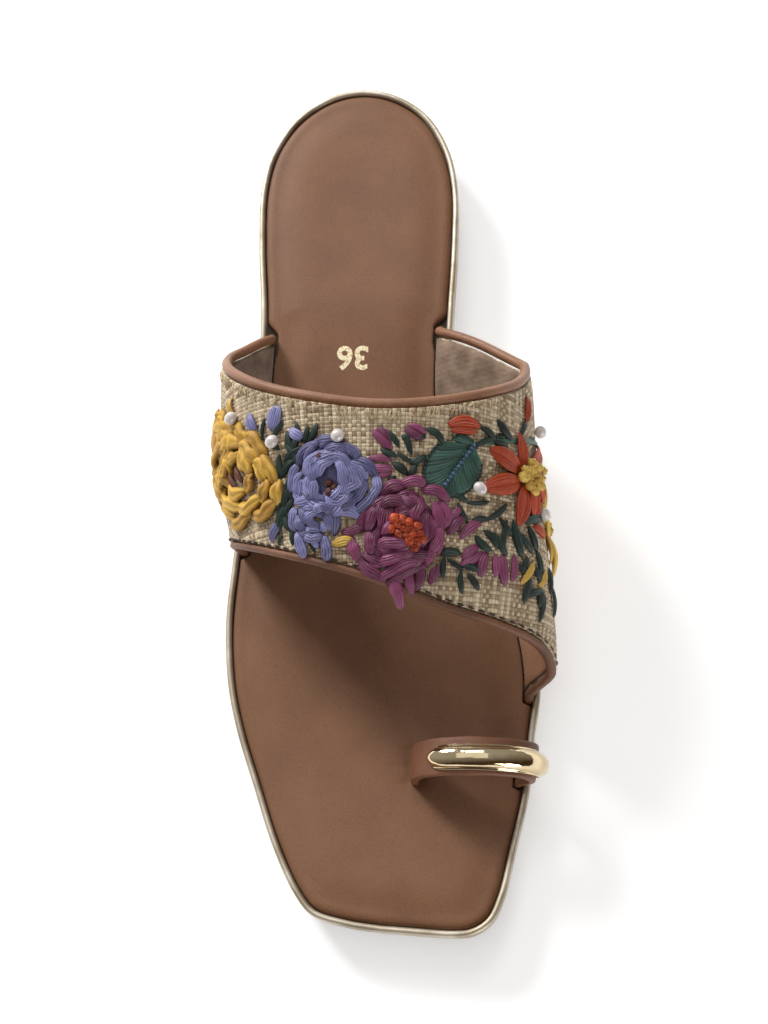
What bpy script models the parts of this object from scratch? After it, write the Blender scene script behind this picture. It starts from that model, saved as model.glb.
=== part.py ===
"""A toe-loop slide sandal in the kolhapuri manner, right foot, women's size 36.

It is built as a shoemaker builds it: heel lift, heel block, outsole, foil-wrapped
midsole, padded insole with a slot, a wide strap lasted under the insole, the roll
and the narrow binding on the strap's two edges, a leather toe loop with a half-round
metal bar, and three ribbon roses sewn on the strap.

Metres, +Z up. The toe points along -Y, +X is the big-toe side, and the sandal stands
on Z = 0 with the middle of its bounding box over the origin.

Places along the foot are given as s, the share of the sole's length from the heel
(0) to the toe (1). Places round an arch are given as a, the share of the way from
its foot on the little-toe side (0) to its foot on the big-toe side (1).
"""

import math

import bmesh
import bpy
from mathutils import Vector

mm = 0.001

# Driving sizes of the last and the sole
SOLE_LENGTH = 246 * mm
HEEL_WIDTH = 58.2 * mm
WAIST_WIDTH = 55.4 * mm
BALL_WIDTH = 87.2 * mm
INSTEP_HEIGHT = 53 * mm
HEEL_HEIGHT = 8 * mm
TOE_SPRING = 4 * mm

# Sheets of the sole, from the floor up
OUTSOLE_THICK = 2.5 * mm
OUTSOLE_INSET = 0.5 * mm
MIDSOLE_FLOOR = 2.5 * mm
RIM_HEIGHT = 3.6 * mm
RIM_WIDTH = 1.7 * mm
INSOLE_THICK = 4 * mm
INSOLE_EDGE_ROUND = 2.6 * mm
HEEL_LIFT_THICK = 2.5 * mm
HEEL_TAPER = 1.2 * mm
GAP = 0.3 * mm
SMALL_BEVEL = 0.4 * mm
OUTSOLE_BEVEL = 0.6 * mm

# How far below the insole's top the two steps of its rounded edge lie
INSOLE_SHOULDER = 1.6 * mm
INSOLE_CROWN = 0.6 * mm

# Where the side view bends, as s
HEEL_BREAST = 0.255
WAIST_START = 0.275
WAIST_END = 0.56
TOE_SPRING_START = 0.78
TOE_SPRING_END = 1.05

# The strap, which is the upper
STRAP_WALL = 2.2 * mm
MARGIN_THICK = 1.0 * mm
MARGIN_LENGTH = 9 * mm
ARCH_FULLNESS = 2.25
ROLL_RADIUS = 1.35 * mm
BINDING_RADIUS = 0.9 * mm

# The toe loop and its bar
LOOP_WALL = 2 * mm
LOOP_WIDTH = 10 * mm
LOOP_S = 0.8195
LOOP_HEIGHT = 16 * mm
LOOP_SLOT_X = 20.1 * mm
LOOP_REACH = 3.6 * mm
LOOP_SIDE_HEIGHT = 6 * mm
LOOP_FULLNESS = 2.1
SLOT_CLEARANCE = 0.4 * mm
BAR_WIDTH = 6.8 * mm
BAR_HEIGHT = 2.8 * mm
BAR_FORWARD = 0.5 * mm
BAR_START = 0.31
BAR_END = 0.86

# Mesh steps
STEPS_PER_RIB = 3
STRAP_ROWS = 14
STRAP_COLUMNS = 56
TUBE_SIDES = 8


def table(columns, *rows):
    """Rows of a table as dictionaries, one for each row, keyed by the column names."""
    return [dict(zip(columns.split(), row)) for row in rows]


# Ribs across the sole: s and x of its lateral and medial ends. x is a share of the
# width named in the column "of", and positive on the big-toe side.
SOLE_RIBS = table(
    "name             of       lateral_s  lateral_x  medial_s  medial_x",
    ("heel tip", "heel", 0.000, 0.000, 0.000, 0.000),
    ("heel back", "heel", 0.009, -0.172, 0.009, 0.172),
    ("heel corner", "heel", 0.037, -0.335, 0.037, 0.335),
    ("heel side", "heel", 0.082, -0.452, 0.082, 0.445),
    ("heel widest", "heel", 0.134, -0.498, 0.134, 0.495),
    ("seat", "heel", 0.211, -0.493, 0.211, 0.500),
    ("heel front", "heel", 0.297, -0.466, 0.297, 0.486),
    ("waist", "waist", 0.391, -0.500, 0.391, 0.500),
    ("arch", "waist", 0.476, -0.531, 0.476, 0.543),
    ("arch front", "ball", 0.537, -0.3615, 0.537, 0.427),
    ("behind ball", "ball", 0.598, -0.377, 0.598, 0.512),
    ("ball lateral", "ball", 0.663, -0.385, 0.663, 0.585),
    ("ball medial", "ball", 0.728, -0.368, 0.728, 0.610),
    ("toe joints", "ball", 0.780, -0.332, 0.780, 0.594),
    ("loop", "ball", 0.844, -0.267, 0.844, 0.577),
    ("toes", "ball", 0.907, -0.199, 0.907, 0.539),
    ("toe sides", "ball", 0.957, -0.126, 0.957, 0.506),
    ("toe corners", "ball", 0.980, -0.069, 0.984, 0.470),
    ("toe edge", "ball", 0.991, 0.034, 0.9972, 0.413),
    ("toe edge middle", "ball", 0.996, 0.138, 1.000, 0.333),
    ("toe tip", "ball", 1.000, 0.235, 1.000, 0.235),
)

# Sections of the last under the strap. The reaches are the widest points of the arch
# and ridge_x is under its highest point, all in shares of BALL_WIDTH. The heights are
# shares of INSTEP_HEIGHT above the insole.
LAST_SECTIONS = table(
    "s     lateral_reach  lateral_height  medial_reach  medial_height  ridge_x  height",
    (0.30, -0.315, 0.33, 0.433, 0.35, 0.077, 1.10),
    (0.40, -0.348, 0.37, 0.547, 0.37, 0.088, 1.06),
    (0.49, -0.346, 0.35, 0.570, 0.37, 0.111, 1.00),
    (0.55, -0.335, 0.26, 0.588, 0.35, 0.117, 0.92),
    (0.60, -0.320, 0.16, 0.606, 0.31, 0.126, 0.83),
    (0.65, -0.312, 0.12, 0.622, 0.27, 0.134, 0.745),
    (0.70, -0.305, 0.10, 0.632, 0.21, 0.146, 0.63),
    (0.76, -0.300, 0.10, 0.625, 0.16, 0.157, 0.51),
)

# The strap's back and front edges, as s at each a
STRAP_EDGES = table(
    "a     back   front",
    (0.00, 0.330, 0.571),
    (0.05, 0.348, 0.575),
    (0.10, 0.373, 0.581),
    (0.15, 0.3965, 0.589),
    (0.20, 0.419, 0.599),
    (0.25, 0.441, 0.609),
    (0.30, 0.461, 0.619),
    (0.40, 0.485, 0.637),
    (0.50, 0.4925, 0.6545),
    (0.60, 0.4815, 0.6745),
    (0.70, 0.451, 0.687),
    (0.80, 0.404, 0.700),
    (0.90, 0.355, 0.722),
    (1.00, 0.322, 0.740),
)

# Ribbon roses on the strap: centre, radii round the arch as a share of BALL_WIDTH and
# along the foot as a share of SOLE_LENGTH, and height
ROSES = table(
    "name            a      s      across   along   height",
    ("rose_yellow", 0.190, 0.508, 0.109, 0.049, 3.5 * mm),
    ("rose_lavender", 0.413, 0.566, 0.089, 0.051, 4.5 * mm),
    ("rose_mauve", 0.523, 0.6095, 0.116, 0.0415, 5 * mm),
)


def smooth(start, end, t):
    """0 before start, 1 after end, and an S-shaped curve between them."""
    t = min(max((t - start) / (end - start), 0.0), 1.0)
    return t * t * (3 - 2 * t)


def mix(a, b, t):
    return a + (b - a) * t


def read(rows, key, column, at):
    """The column's value at this key, on a smooth curve through the table's rows."""
    keys = [row[key] for row in rows]
    values = [row[column] for row in rows]
    at = min(max(at, keys[0]), keys[-1])
    steps = [b - a for a, b in zip(keys, keys[1:])]
    rates = [(b - a) / step for a, b, step in zip(values, values[1:], steps)]
    inner = [
        (before * after_step + after * before_step) / (before_step + after_step)
        for before, after, before_step, after_step in zip(rates, rates[1:], steps, steps[1:])
    ]
    slopes = [rates[0], *inner, rates[-1]]
    i = max(n for n in range(len(steps)) if n == 0 or keys[n] <= at)
    t = (at - keys[i]) / steps[i]
    return (
        (2 * t**3 - 3 * t**2 + 1) * values[i]
        + (t**3 - 2 * t**2 + t) * steps[i] * slopes[i]
        + (3 * t**2 - 2 * t**3) * values[i + 1]
        + (t**3 - t**2) * steps[i] * slopes[i + 1]
    )


def curve_through(points, steps):
    """Points on a centripetal Catmull-Rom curve, with this many steps to each stretch."""
    points = [Vector(p) for p in points]
    ends = [2 * points[0] - points[1], *points, 2 * points[-1] - points[-2]]
    out = []
    for p0, p1, p2, p3 in zip(ends, ends[1:], ends[2:], ends[3:]):
        k1 = (p1 - p0).length ** 0.5
        k2 = k1 + (p2 - p1).length ** 0.5
        k3 = k2 + (p3 - p2).length ** 0.5
        for step in range(steps):
            k = mix(k1, k2, step / steps)
            a1 = p0.lerp(p1, k / k1)
            a2 = p1.lerp(p2, (k - k1) / (k2 - k1))
            a3 = p2.lerp(p3, (k - k2) / (k3 - k2))
            b1 = a1.lerp(a2, k / k2)
            b2 = a2.lerp(a3, (k - k1) / (k3 - k1))
            out.append(b1.lerp(b2, (k - k1) / (k2 - k1)))
    return [*out, points[-1]]


# Heights along the foot


def sole_line(s):
    """Height of the outsole's underside: up on the heel, flat at the ball, toe spring."""
    heel = HEEL_HEIGHT * (1 - smooth(WAIST_START, WAIST_END, s))
    return heel + TOE_SPRING * smooth(TOE_SPRING_START, TOE_SPRING_END, s)


def outsole_top(s):
    return sole_line(s) + OUTSOLE_THICK


def midsole_base(s):
    return outsole_top(s) + GAP


def rim_top(s):
    return midsole_base(s) + MIDSOLE_FLOOR + RIM_HEIGHT


def insole_base(s):
    return midsole_base(s) + MIDSOLE_FLOOR + GAP


def insole_top(s):
    return insole_base(s) + INSOLE_THICK


# The sole's outline


def side_points(side):
    """One side of the sole from heel tip to toe tip, as (x, distance from the heel)."""
    widths = {"heel": HEEL_WIDTH, "waist": WAIST_WIDTH, "ball": BALL_WIDTH}
    ribs = [
        (rib[side + "_x"] * widths[rib["of"]], rib[side + "_s"] * SOLE_LENGTH, 0)
        for rib in SOLE_RIBS
    ]
    return curve_through(ribs, STEPS_PER_RIB)


SIDES = {"lateral": side_points("lateral"), "medial": side_points("medial")}


def outline(inset, last_s=1.0):
    """The sole's outline moved inwards, as matching lists of medial and lateral points.

    inset is a length, or a function of s and the side. The lists run from the heel tip
    to the toe tip, or only as far as the rib at last_s.
    """
    amount = inset if callable(inset) else (lambda s, side: inset)
    count = sum(1 for p in SIDES["medial"] if p.y <= last_s * SOLE_LENGTH + 1e-9)
    closed = SIDES["medial"] + SIDES["lateral"][-2:0:-1]
    total = len(closed)
    moved = []
    for i, point in enumerate(closed):
        along = closed[(i + 1) % total] - closed[i - 1]
        inward = Vector((-along.y, along.x, 0)).normalized()
        side = "medial" if i < len(SIDES["medial"]) else "lateral"
        moved.append(point + inward * amount(point.y / SOLE_LENGTH, side))
    medial = moved[: len(SIDES["medial"])]
    lateral = [moved[0], *reversed(moved[len(SIDES["medial"]) :]), medial[-1]]
    return medial[:count], lateral[:count]


KNOWN_EDGES = {}


def edge_x(side, s, inset):
    """x of the sole's edge at s, moved inwards."""
    if inset not in KNOWN_EDGES:
        medial, lateral = outline(inset)
        KNOWN_EDGES[inset] = {"medial": medial, "lateral": lateral}
    y = s * SOLE_LENGTH
    points = KNOWN_EDGES[inset][side]
    for p, q in zip(points, points[1:]):
        if p.y <= y <= q.y and q.y > p.y:
            return mix(p.x, q.x, (y - p.y) / (q.y - p.y))
    raise ValueError(f"no edge at s = {s}")


# Arches over the sole


def half_arch(foot, upright, reach, ridge, fullness):
    """(x, z) points from a foot, up past the widest point, to just before the ridge."""
    (foot_x, foot_z), (reach_x, reach_z), (ridge_x, ridge_z) = foot, reach, ridge
    points = [(foot_x, mix(foot_z, upright, t / 3)) for t in range(3)]
    for step in range(12):
        t = step / 12
        points.append((mix(foot_x, reach_x, smooth(0, 1, t)), mix(upright, reach_z, t)))
    for step in range(24):
        angle = math.pi / 2 * step / 24
        across = 1 - math.cos(angle) ** (2 / fullness)
        up = math.sin(angle) ** (2 / fullness)
        points.append((mix(reach_x, ridge_x, across), mix(reach_z, ridge_z, up)))
    return points


def evenly(points, count):
    """The same line as count + 1 points at even distances."""
    lengths = [0.0]
    for p, q in zip(points, points[1:]):
        lengths.append(lengths[-1] + math.dist(p, q))
    out, i = [], 0
    for step in range(count + 1):
        want = lengths[-1] * step / count
        while i < len(points) - 2 and lengths[i + 1] < want:
            i += 1
        t = (want - lengths[i]) / (lengths[i + 1] - lengths[i])
        out.append(tuple(mix(u, v, t) for u, v in zip(points[i], points[i + 1])))
    return out


# What stands just inside the rim has its outer face at this inset, and starts to lean
# only at this height over the rim
BESIDE_RIM = RIM_WIDTH + GAP
ABOVE_RIM = 0.8 * mm

ARCH_STEPS = 160
KNOWN_SECTIONS = {}


def strap_section(s):
    """The last's section at s, as even (x, z) points: the strap's inner face."""
    s = round(s, 5)
    if s not in KNOWN_SECTIONS:
        row = {c: read(LAST_SECTIONS, "s", c, s) for c in LAST_SECTIONS[0] if c != "s"}
        top = insole_top(s)
        ridge = (row["ridge_x"] * BALL_WIDTH, top + row["height"] * INSTEP_HEIGHT)
        halves = []
        for side in ("lateral", "medial"):
            foot = (edge_x(side, s, BESIDE_RIM + STRAP_WALL), insole_base(s) + MARGIN_THICK)
            reach = (
                row[side + "_reach"] * BALL_WIDTH,
                top + row[side + "_height"] * INSTEP_HEIGHT,
            )
            upright = rim_top(s) + ABOVE_RIM
            halves.append(half_arch(foot, upright, reach, ridge, ARCH_FULLNESS))
        KNOWN_SECTIONS[s] = evenly([*halves[0], ridge, *reversed(halves[1])], ARCH_STEPS)
    return KNOWN_SECTIONS[s]


def loop_section(s):
    """The toe loop's inner face, from its slot over the toe to the big-toe edge."""
    s = round(s, 5)
    if ("loop", s) not in KNOWN_SECTIONS:
        base, top = insole_base(s), insole_top(s)
        edge = edge_x("medial", s, BESIDE_RIM + LOOP_WALL)
        slot = LOOP_SLOT_X + LOOP_WALL / 2
        ridge = ((slot + edge) / 2 + LOOP_REACH / 2, top + LOOP_HEIGHT)
        lateral = half_arch(
            (slot, base), top - mm, (slot, top + mm), ridge, LOOP_FULLNESS
        )
        reach = (edge + LOOP_REACH, top + LOOP_SIDE_HEIGHT)
        medial = half_arch((edge, base), rim_top(s) + ABOVE_RIM, reach, ridge, LOOP_FULLNESS)
        KNOWN_SECTIONS["loop", s] = evenly([*lateral, ridge, *reversed(medial)], ARCH_STEPS)
    return KNOWN_SECTIONS["loop", s]


def on_arch(section, s, a, out=0.0):
    """The point of an arch at (s, a), moved outwards from its inner face."""
    points = section(s)
    place = min(max(a, 0.0), 1.0) * ARCH_STEPS
    i = min(int(place), ARCH_STEPS - 1)
    x, z = (mix(u, v, place - i) for u, v in zip(points[i], points[i + 1]))
    before, after = points[max(i - 1, 0)], points[min(i + 2, ARCH_STEPS)]
    away = Vector((before[1] - after[1], after[0] - before[0])).normalized()
    return Vector((x + away.x * out, s * SOLE_LENGTH, z + away.y * out))


def strap_point(s, a, out=0.0):
    return on_arch(strap_section, s, a, out)


def strap_edge(edge, a):
    return read(STRAP_EDGES, "a", edge, a)


# From lists of points to objects


def shoe_to_world(point):
    """From (x, distance from the heel, height) to the frame with the toe along -Y."""
    return Vector((point[0], SOLE_LENGTH / 2 - point[1], point[2]))


def add_object(name, points, faces, material):
    mesh = bpy.data.meshes.new(name)
    mesh.from_pydata([shoe_to_world(p) for p in points], [], faces)
    shape = bmesh.new()
    shape.from_mesh(mesh)
    bmesh.ops.remove_doubles(shape, verts=shape.verts, dist=1e-7)
    bmesh.ops.recalc_face_normals(shape, faces=shape.faces)
    shape.to_mesh(mesh)
    shape.free()
    mesh.materials.append(material)
    obj = bpy.data.objects.new(name, mesh)
    bpy.context.collection.objects.link(obj)
    return obj


def add_slab(name, loops, material, last_s=1.0):
    """A sheet of the sole, from the heel as far as last_s.

    loops holds (inset, height function) pairs from the bottom face to the top one; both
    faces are filled with ribs from side to side.
    """
    points, rings = [], []
    for inset, height in loops:
        medial, lateral = outline(inset, last_s)
        whole = last_s == 1.0
        ring = medial + (lateral[-2:0:-1] if whole else lateral[:0:-1])
        rings.append(len(points))
        points += [(p.x, p.y, height(p.y / SOLE_LENGTH)) for p in ring]
    total = len(ring)
    faces = []
    for low, high in zip(rings, rings[1:]):
        for i in range(total):
            j = (i + 1) % total
            faces.append((low + i, low + j, high + j, high + i))
    for start in (rings[0], rings[-1]):
        for i in range(total // 2):
            rib = [start + i, start + i + 1, start + total - i - 1, start + (total - i) % total]
            faces.append(tuple(dict.fromkeys(rib)))
    return add_object(name, points, faces, material)


def add_sheet(name, outer, inner, material):
    """A sheet with a wall, closed round its four sides, from two grids of points."""
    rows, columns = len(outer), len(outer[0])
    points = [p for row in outer for p in row] + [p for row in inner for p in row]
    back = rows * columns
    faces = []
    for i in range(rows - 1):
        for j in range(columns - 1):
            k = i * columns + j
            faces.append((k, k + 1, k + columns + 1, k + columns))
            faces.append(tuple(back + n for n in (k + columns, k + columns + 1, k + 1, k)))
    border = list(range(columns))
    border += [i * columns + columns - 1 for i in range(1, rows)]
    border += [(rows - 1) * columns + j for j in range(columns - 2, -1, -1)]
    border += [i * columns for i in range(rows - 2, 0, -1)]
    for p, q in zip(border, border[1:] + border[:1]):
        faces.append((p, q, back + q, back + p))
    return add_object(name, points, faces, material)


def add_sweep(name, rings, material):
    """A solid through rings of points, with both ends closed by a flat face."""
    sides = len(rings[0])
    points = [p for ring in rings for p in ring]
    faces = [tuple(range(sides)), tuple(range(len(points) - sides, len(points)))]
    for i in range(len(rings) - 1):
        for j in range(sides):
            k, n = i * sides, (j + 1) % sides
            faces.append((k + j, k + n, k + sides + n, k + sides + j))
    return add_object(name, points, faces, material)


def add_material(name, color, roughness, metallic=0.0):
    material = bpy.data.materials.new(name)
    material.use_nodes = True
    shader = material.node_tree.nodes["Principled BSDF"]
    shader.inputs["Base Color"].default_value = (*color, 1)
    shader.inputs["Roughness"].default_value = roughness
    shader.inputs["Metallic"].default_value = metallic
    material.diffuse_color = (*color, 1)
    return material


# Sub-parts


def add_heel_lift(material):
    """The rubber piece that the heel stands on."""
    top = HEEL_LIFT_THICK
    return add_slab(
        "heel_lift",
        [
            (OUTSOLE_INSET + HEEL_TAPER + SMALL_BEVEL, lambda s: 0.0),
            (OUTSOLE_INSET + HEEL_TAPER, lambda s: SMALL_BEVEL),
            (OUTSOLE_INSET + HEEL_TAPER, lambda s: top),
        ],
        material,
        HEEL_BREAST,
    )


def add_heel_block(material):
    """The low block between the lift and the outsole."""
    return add_slab(
        "heel_block",
        [
            (OUTSOLE_INSET + HEEL_TAPER, lambda s: HEEL_LIFT_THICK + GAP),
            (OUTSOLE_INSET + GAP, lambda s: sole_line(s) - GAP),
        ],
        material,
        HEEL_BREAST,
    )


def add_outsole(material):
    """The rubber sheet under the whole sandal."""
    edge = OUTSOLE_INSET
    return add_slab(
        "outsole",
        [
            (edge + OUTSOLE_BEVEL, sole_line),
            (edge, lambda s: sole_line(s) + OUTSOLE_BEVEL),
            (edge, outsole_top),
        ],
        material,
    )


def add_midsole(material):
    """The tray wrapped in metal foil, with a rounded rim that stands round the insole."""
    curl = RIM_WIDTH / 2
    return add_slab(
        "midsole",
        [
            (SMALL_BEVEL, midsole_base),
            (0.0, lambda s: midsole_base(s) + SMALL_BEVEL),
            (0.0, lambda s: rim_top(s) - curl),
            (0.3 * curl, lambda s: rim_top(s) - 0.3 * curl),
            (curl, rim_top),
            (1.7 * curl, lambda s: rim_top(s) - 0.3 * curl),
            (RIM_WIDTH, lambda s: rim_top(s) - curl),
            (RIM_WIDTH, lambda s: insole_base(s) - GAP),
        ],
        material,
    )


# The insole's edge draws in over this much of s, and this much clear of the strap's ends.
# Beside the roll's foot it draws in further, fully to ROLL_NEAR and no more from ROLL_FAR.
STRAP_EASE = 0.012
STRAP_SPARE = 0.021
ROLL_NEAR = 0.035
ROLL_FAR = 0.065


def strap_share(s, side):
    """1 where the strap or the toe loop passes the insole's side, 0 elsewhere."""
    ends = [(strap_edge("back", 0), strap_edge("front", 0))]
    if side == "medial":
        half = LOOP_WIDTH / 2 / SOLE_LENGTH
        ends = [(strap_edge("back", 1), strap_edge("front", 1)), (LOOP_S - half, LOOP_S + half)]
    ease, spare = STRAP_EASE, STRAP_SPARE
    return max(
        min(smooth(a - spare - ease, a - spare, s), 1 - smooth(b + spare, b + spare + ease, s))
        for a, b in ends
    )


def roll_share(s, side):
    """1 beside the foot of the back roll, which is thicker than the strap, 0 elsewhere."""
    foot = strap_edge("back", 0 if side == "lateral" else 1)
    return 1 - smooth(ROLL_NEAR, ROLL_FAR, abs(s - foot))


def insole_inset(s, side):
    beside_strap = BESIDE_RIM + STRAP_WALL + GAP
    roll = max(2 * ROLL_RADIUS - STRAP_WALL + GAP, 0) * roll_share(s, side)
    return mix(BESIDE_RIM, beside_strap, strap_share(s, side)) + roll


def add_insole(material, toe_slot):
    """The padded footbed. Its underside is raised where the lasting margins lie."""

    def near(s):
        return max(strap_share(s, "lateral"), strap_share(s, "medial"))

    def margin_base(s):
        return insole_base(s) + near(s) * (MARGIN_THICK + GAP)

    def inset(extra):
        return lambda s, side: insole_inset(s, side) + extra

    def past_margin(extra):
        deep = MARGIN_LENGTH + GAP
        return lambda s, side: insole_inset(s, side) + mix(mm, deep, near(s)) + extra

    soft = INSOLE_EDGE_ROUND
    insole = add_slab(
        "insole",
        [
            (past_margin(SMALL_BEVEL), insole_base),
            (past_margin(0), margin_base),
            (inset(SMALL_BEVEL), margin_base),
            (inset(0), lambda s: margin_base(s) + SMALL_BEVEL),
            (inset(0), lambda s: insole_top(s) - INSOLE_SHOULDER),
            (inset(0.25 * soft), lambda s: insole_top(s) - INSOLE_CROWN),
            (inset(soft), insole_top),
        ],
        material,
    )
    cut = insole.modifiers.new("toe slot", "BOOLEAN")
    cut.operation = "DIFFERENCE"
    cut.object = toe_slot
    return insole


def add_toe_slot():
    """The cutter for the slot that the toe loop passes through, hidden in renders."""
    half_x = LOOP_WALL / 2 + SLOT_CLEARANCE
    half_y = LOOP_WIDTH / 2 + SLOT_CLEARANCE
    low = insole_base(LOOP_S) - 5 * mm
    high = insole_top(LOOP_S) + 5 * mm
    y = LOOP_S * SOLE_LENGTH
    rings = [
        [
            (LOOP_SLOT_X + i * half_x, y + j * half_y, z)
            for i, j in ((-1, -1), (1, -1), (1, 1), (-1, 1))
        ]
        for z in (low, high)
    ]
    cutter = add_sweep("toe_slot_cutter", rings, add_material("cutter", (0.5, 0.5, 0.5), 0.5))
    cutter.hide_render = True
    cutter.display_type = "WIRE"
    return cutter


def add_upper(material):
    """The strap: a hollow arch on the last, with margins turned in under the insole."""
    outer, inner = [], []
    for i in range(STRAP_ROWS + 1):
        outer_row, inner_row = [], []
        for j in range(STRAP_COLUMNS + 1):
            a = j / STRAP_COLUMNS
            s = mix(strap_edge("back", a), strap_edge("front", a), i / STRAP_ROWS)
            inner_row.append(strap_point(s, a))
            outer_row.append(strap_point(s, a, STRAP_WALL))
        for end, inward in ((0, 1), (-1, -1)):
            foot = inner_row[end]
            base = insole_base(foot.y / SOLE_LENGTH)
            outer_row[end] = Vector((outer_row[end].x, foot.y, base))
            margin = foot + Vector((inward * MARGIN_LENGTH, 0, 0))
            place = 0 if end == 0 else len(inner_row)
            inner_row.insert(place, margin)
            outer_row.insert(place, Vector((margin.x, margin.y, base)))
        outer.append(outer_row)
        inner.append(inner_row)
    return add_sheet("upper", outer, inner, material)


# A tube lies on the strap's outside beside the rim, up to TUBE_LOW of the arch's length
# from its foot, and is centred on the strap's wall from TUBE_HIGH
TUBE_LOW = 0.04
TUBE_HIGH = 0.10


def add_edge_tube(name, edge, direction, radius, material):
    """A round strip of leather along one edge of the strap, from sole to sole."""
    line = []
    for step in range(STRAP_COLUMNS + 1):
        a = step / STRAP_COLUMNS
        above_rim = smooth(TUBE_LOW, TUBE_HIGH, min(a, 1 - a))
        out = mix(STRAP_WALL - radius, STRAP_WALL / 2, above_rim)
        line.append(strap_point(strap_edge(edge, a), a, out))
    path = []
    for step, point in enumerate(line):
        a = step / STRAP_COLUMNS
        s = strap_edge(edge, a)
        along = (line[min(step + 1, STRAP_COLUMNS)] - line[max(step - 1, 0)]).normalized()
        out = (strap_point(s, a, STRAP_WALL) - strap_point(s, a)).normalized()
        away = along.cross(out).normalized()
        if away.y * direction < 0:
            away = -away
        path.append((point + away * (radius + GAP), away, out))
    rings = []
    for centre, away, out in path:
        turns = [2 * math.pi * k / TUBE_SIDES for k in range(TUBE_SIDES)]
        rings.append(
            [centre + radius * (away * math.cos(t) + out * math.sin(t)) for t in turns]
        )
    for ring in (rings[0], rings[-1]):
        for point in ring:
            point.z = max(point.z, insole_base(point.y / SOLE_LENGTH))
    return add_sweep(name, rings, material)


def add_toe_loop(material):
    """The leather band over the big toe."""
    outer, inner = [], []
    for i in range(5):
        s = LOOP_S + (i / 4 - 0.5) * LOOP_WIDTH / SOLE_LENGTH
        inner.append([on_arch(loop_section, s, j / 40) for j in range(41)])
        outer.append([on_arch(loop_section, s, j / 40, LOOP_WALL) for j in range(41)])
    return add_sheet("toe_loop", outer, inner, material)


def add_toe_bar(material):
    """The half-round metal bar that follows the top of the toe loop."""
    shape = []
    for step in range(9):
        turn = math.pi * step / 8
        shape.append((math.cos(turn) * BAR_WIDTH / 2, math.sin(turn) * BAR_HEIGHT))
    steps = 30
    rings = []
    for step in range(steps + 1):
        t = step / steps
        a = mix(BAR_START, BAR_END, t)
        swell = math.sqrt(max(1 - abs(2 * t - 1) ** 9, 0.04))
        out = LOOP_WALL + GAP
        foot = on_arch(loop_section, LOOP_S, a, out)
        up = (on_arch(loop_section, LOOP_S, a, out + mm) - foot).normalized()
        rings.append(
            [
                foot + Vector((0, BAR_FORWARD + y * swell, 0)) + up * (SMALL_BEVEL + z * swell)
                for y, z in shape
            ]
        )
    return add_sweep("toe_bar", rings, material)


def add_rose(rose, material):
    """A low dome on the strap in the place and size of one ribbon rose."""
    around = 20
    girth = sum(
        math.dist(p, q)
        for p, q in zip(strap_section(rose["s"]), strap_section(rose["s"])[1:])
    )

    def place(share, turn, out):
        a = rose["a"] + share * rose["across"] * BALL_WIDTH * math.cos(turn) / girth
        s = rose["s"] + share * rose["along"] * math.sin(turn)
        return strap_point(s, a, STRAP_WALL + out)

    profile = [(0.12, GAP), (0.5, GAP), (0.97, GAP), (1.0, 0.3 * rose["height"])]
    profile += [(0.9, 0.62 * rose["height"]), (0.62, 0.92 * rose["height"])]
    profile += [(0.3, rose["height"]), (0.1, rose["height"])]
    turns = [2 * math.pi * k / around for k in range(around)]
    rings = [[place(share, turn, out) for turn in turns] for share, out in profile]
    return add_sweep(rose["name"], rings, material)


def stand_on_origin(objects):
    """Parents the pieces to an empty that puts their box's middle over the origin."""
    corners = [v.co for obj in objects for v in obj.data.vertices]
    middle = [(min(c[k] for c in corners) + max(c[k] for c in corners)) / 2 for k in (0, 1)]
    sandal = bpy.data.objects.new("sandal", None)
    sandal.location = (-middle[0], -middle[1], 0)
    bpy.context.collection.objects.link(sandal)
    for obj in objects:
        obj.parent = sandal


for old in list(bpy.data.objects):
    bpy.data.objects.remove(old)

RUBBER = add_material("rubber", (0.10, 0.07, 0.05), 0.8)
HEEL_STACK = add_material("heel_stack", (0.20, 0.12, 0.07), 0.6)
FOIL = add_material("gold_foil", (0.60, 0.50, 0.36), 0.35, 0.9)
FOOTBED = add_material("footbed_leather", (0.21, 0.11, 0.07), 0.55)
RAFFIA = add_material("raffia", (0.56, 0.42, 0.25), 0.85)
TAN_LEATHER = add_material("tan_leather", (0.34, 0.18, 0.12), 0.6)
GOLD = add_material("gold_metal", (0.80, 0.56, 0.22), 0.12, 1.0)
RIBBONS = {
    "rose_yellow": add_material("yellow_ribbon", (0.72, 0.38, 0.04), 0.8),
    "rose_lavender": add_material("lavender_ribbon", (0.27, 0.25, 0.55), 0.8),
    "rose_mauve": add_material("mauve_ribbon", (0.33, 0.09, 0.22), 0.8),
}

slot = add_toe_slot()
pieces = [
    add_heel_lift(RUBBER),
    add_heel_block(HEEL_STACK),
    add_outsole(RUBBER),
    add_midsole(FOIL),
    add_insole(FOOTBED, slot),
    add_upper(RAFFIA),
    add_edge_tube("back_roll", "back", -1, ROLL_RADIUS, TAN_LEATHER),
    add_edge_tube("front_binding", "front", 1, BINDING_RADIUS, TAN_LEATHER),
    add_toe_loop(TAN_LEATHER),
    add_toe_bar(GOLD),
]
pieces += [add_rose(rose, RIBBONS[rose["name"]]) for rose in ROSES]
stand_on_origin([*pieces, slot])
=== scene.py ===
"""A toe-loop slide sandal in the kolhapuri manner, right foot, finished for the render.

The sections follow the sandal as it is put together: heel, outsole, foil-wrapped tray,
footbed, raffia strap with its lining, roll and binding, toe loop with its bar, and the
needlework on the strap. Shapes are worked out in the shoe's own coordinates: x across
(big-toe side positive), d from the heel tip towards the toe, z up, all in metres. As in
the CAD source, s is d as a share of the sole's length, and a is the share of the way
round the strap from its foot on the little-toe side.
"""

import math

import bpy
import numpy as np
from mathutils import Matrix


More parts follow.
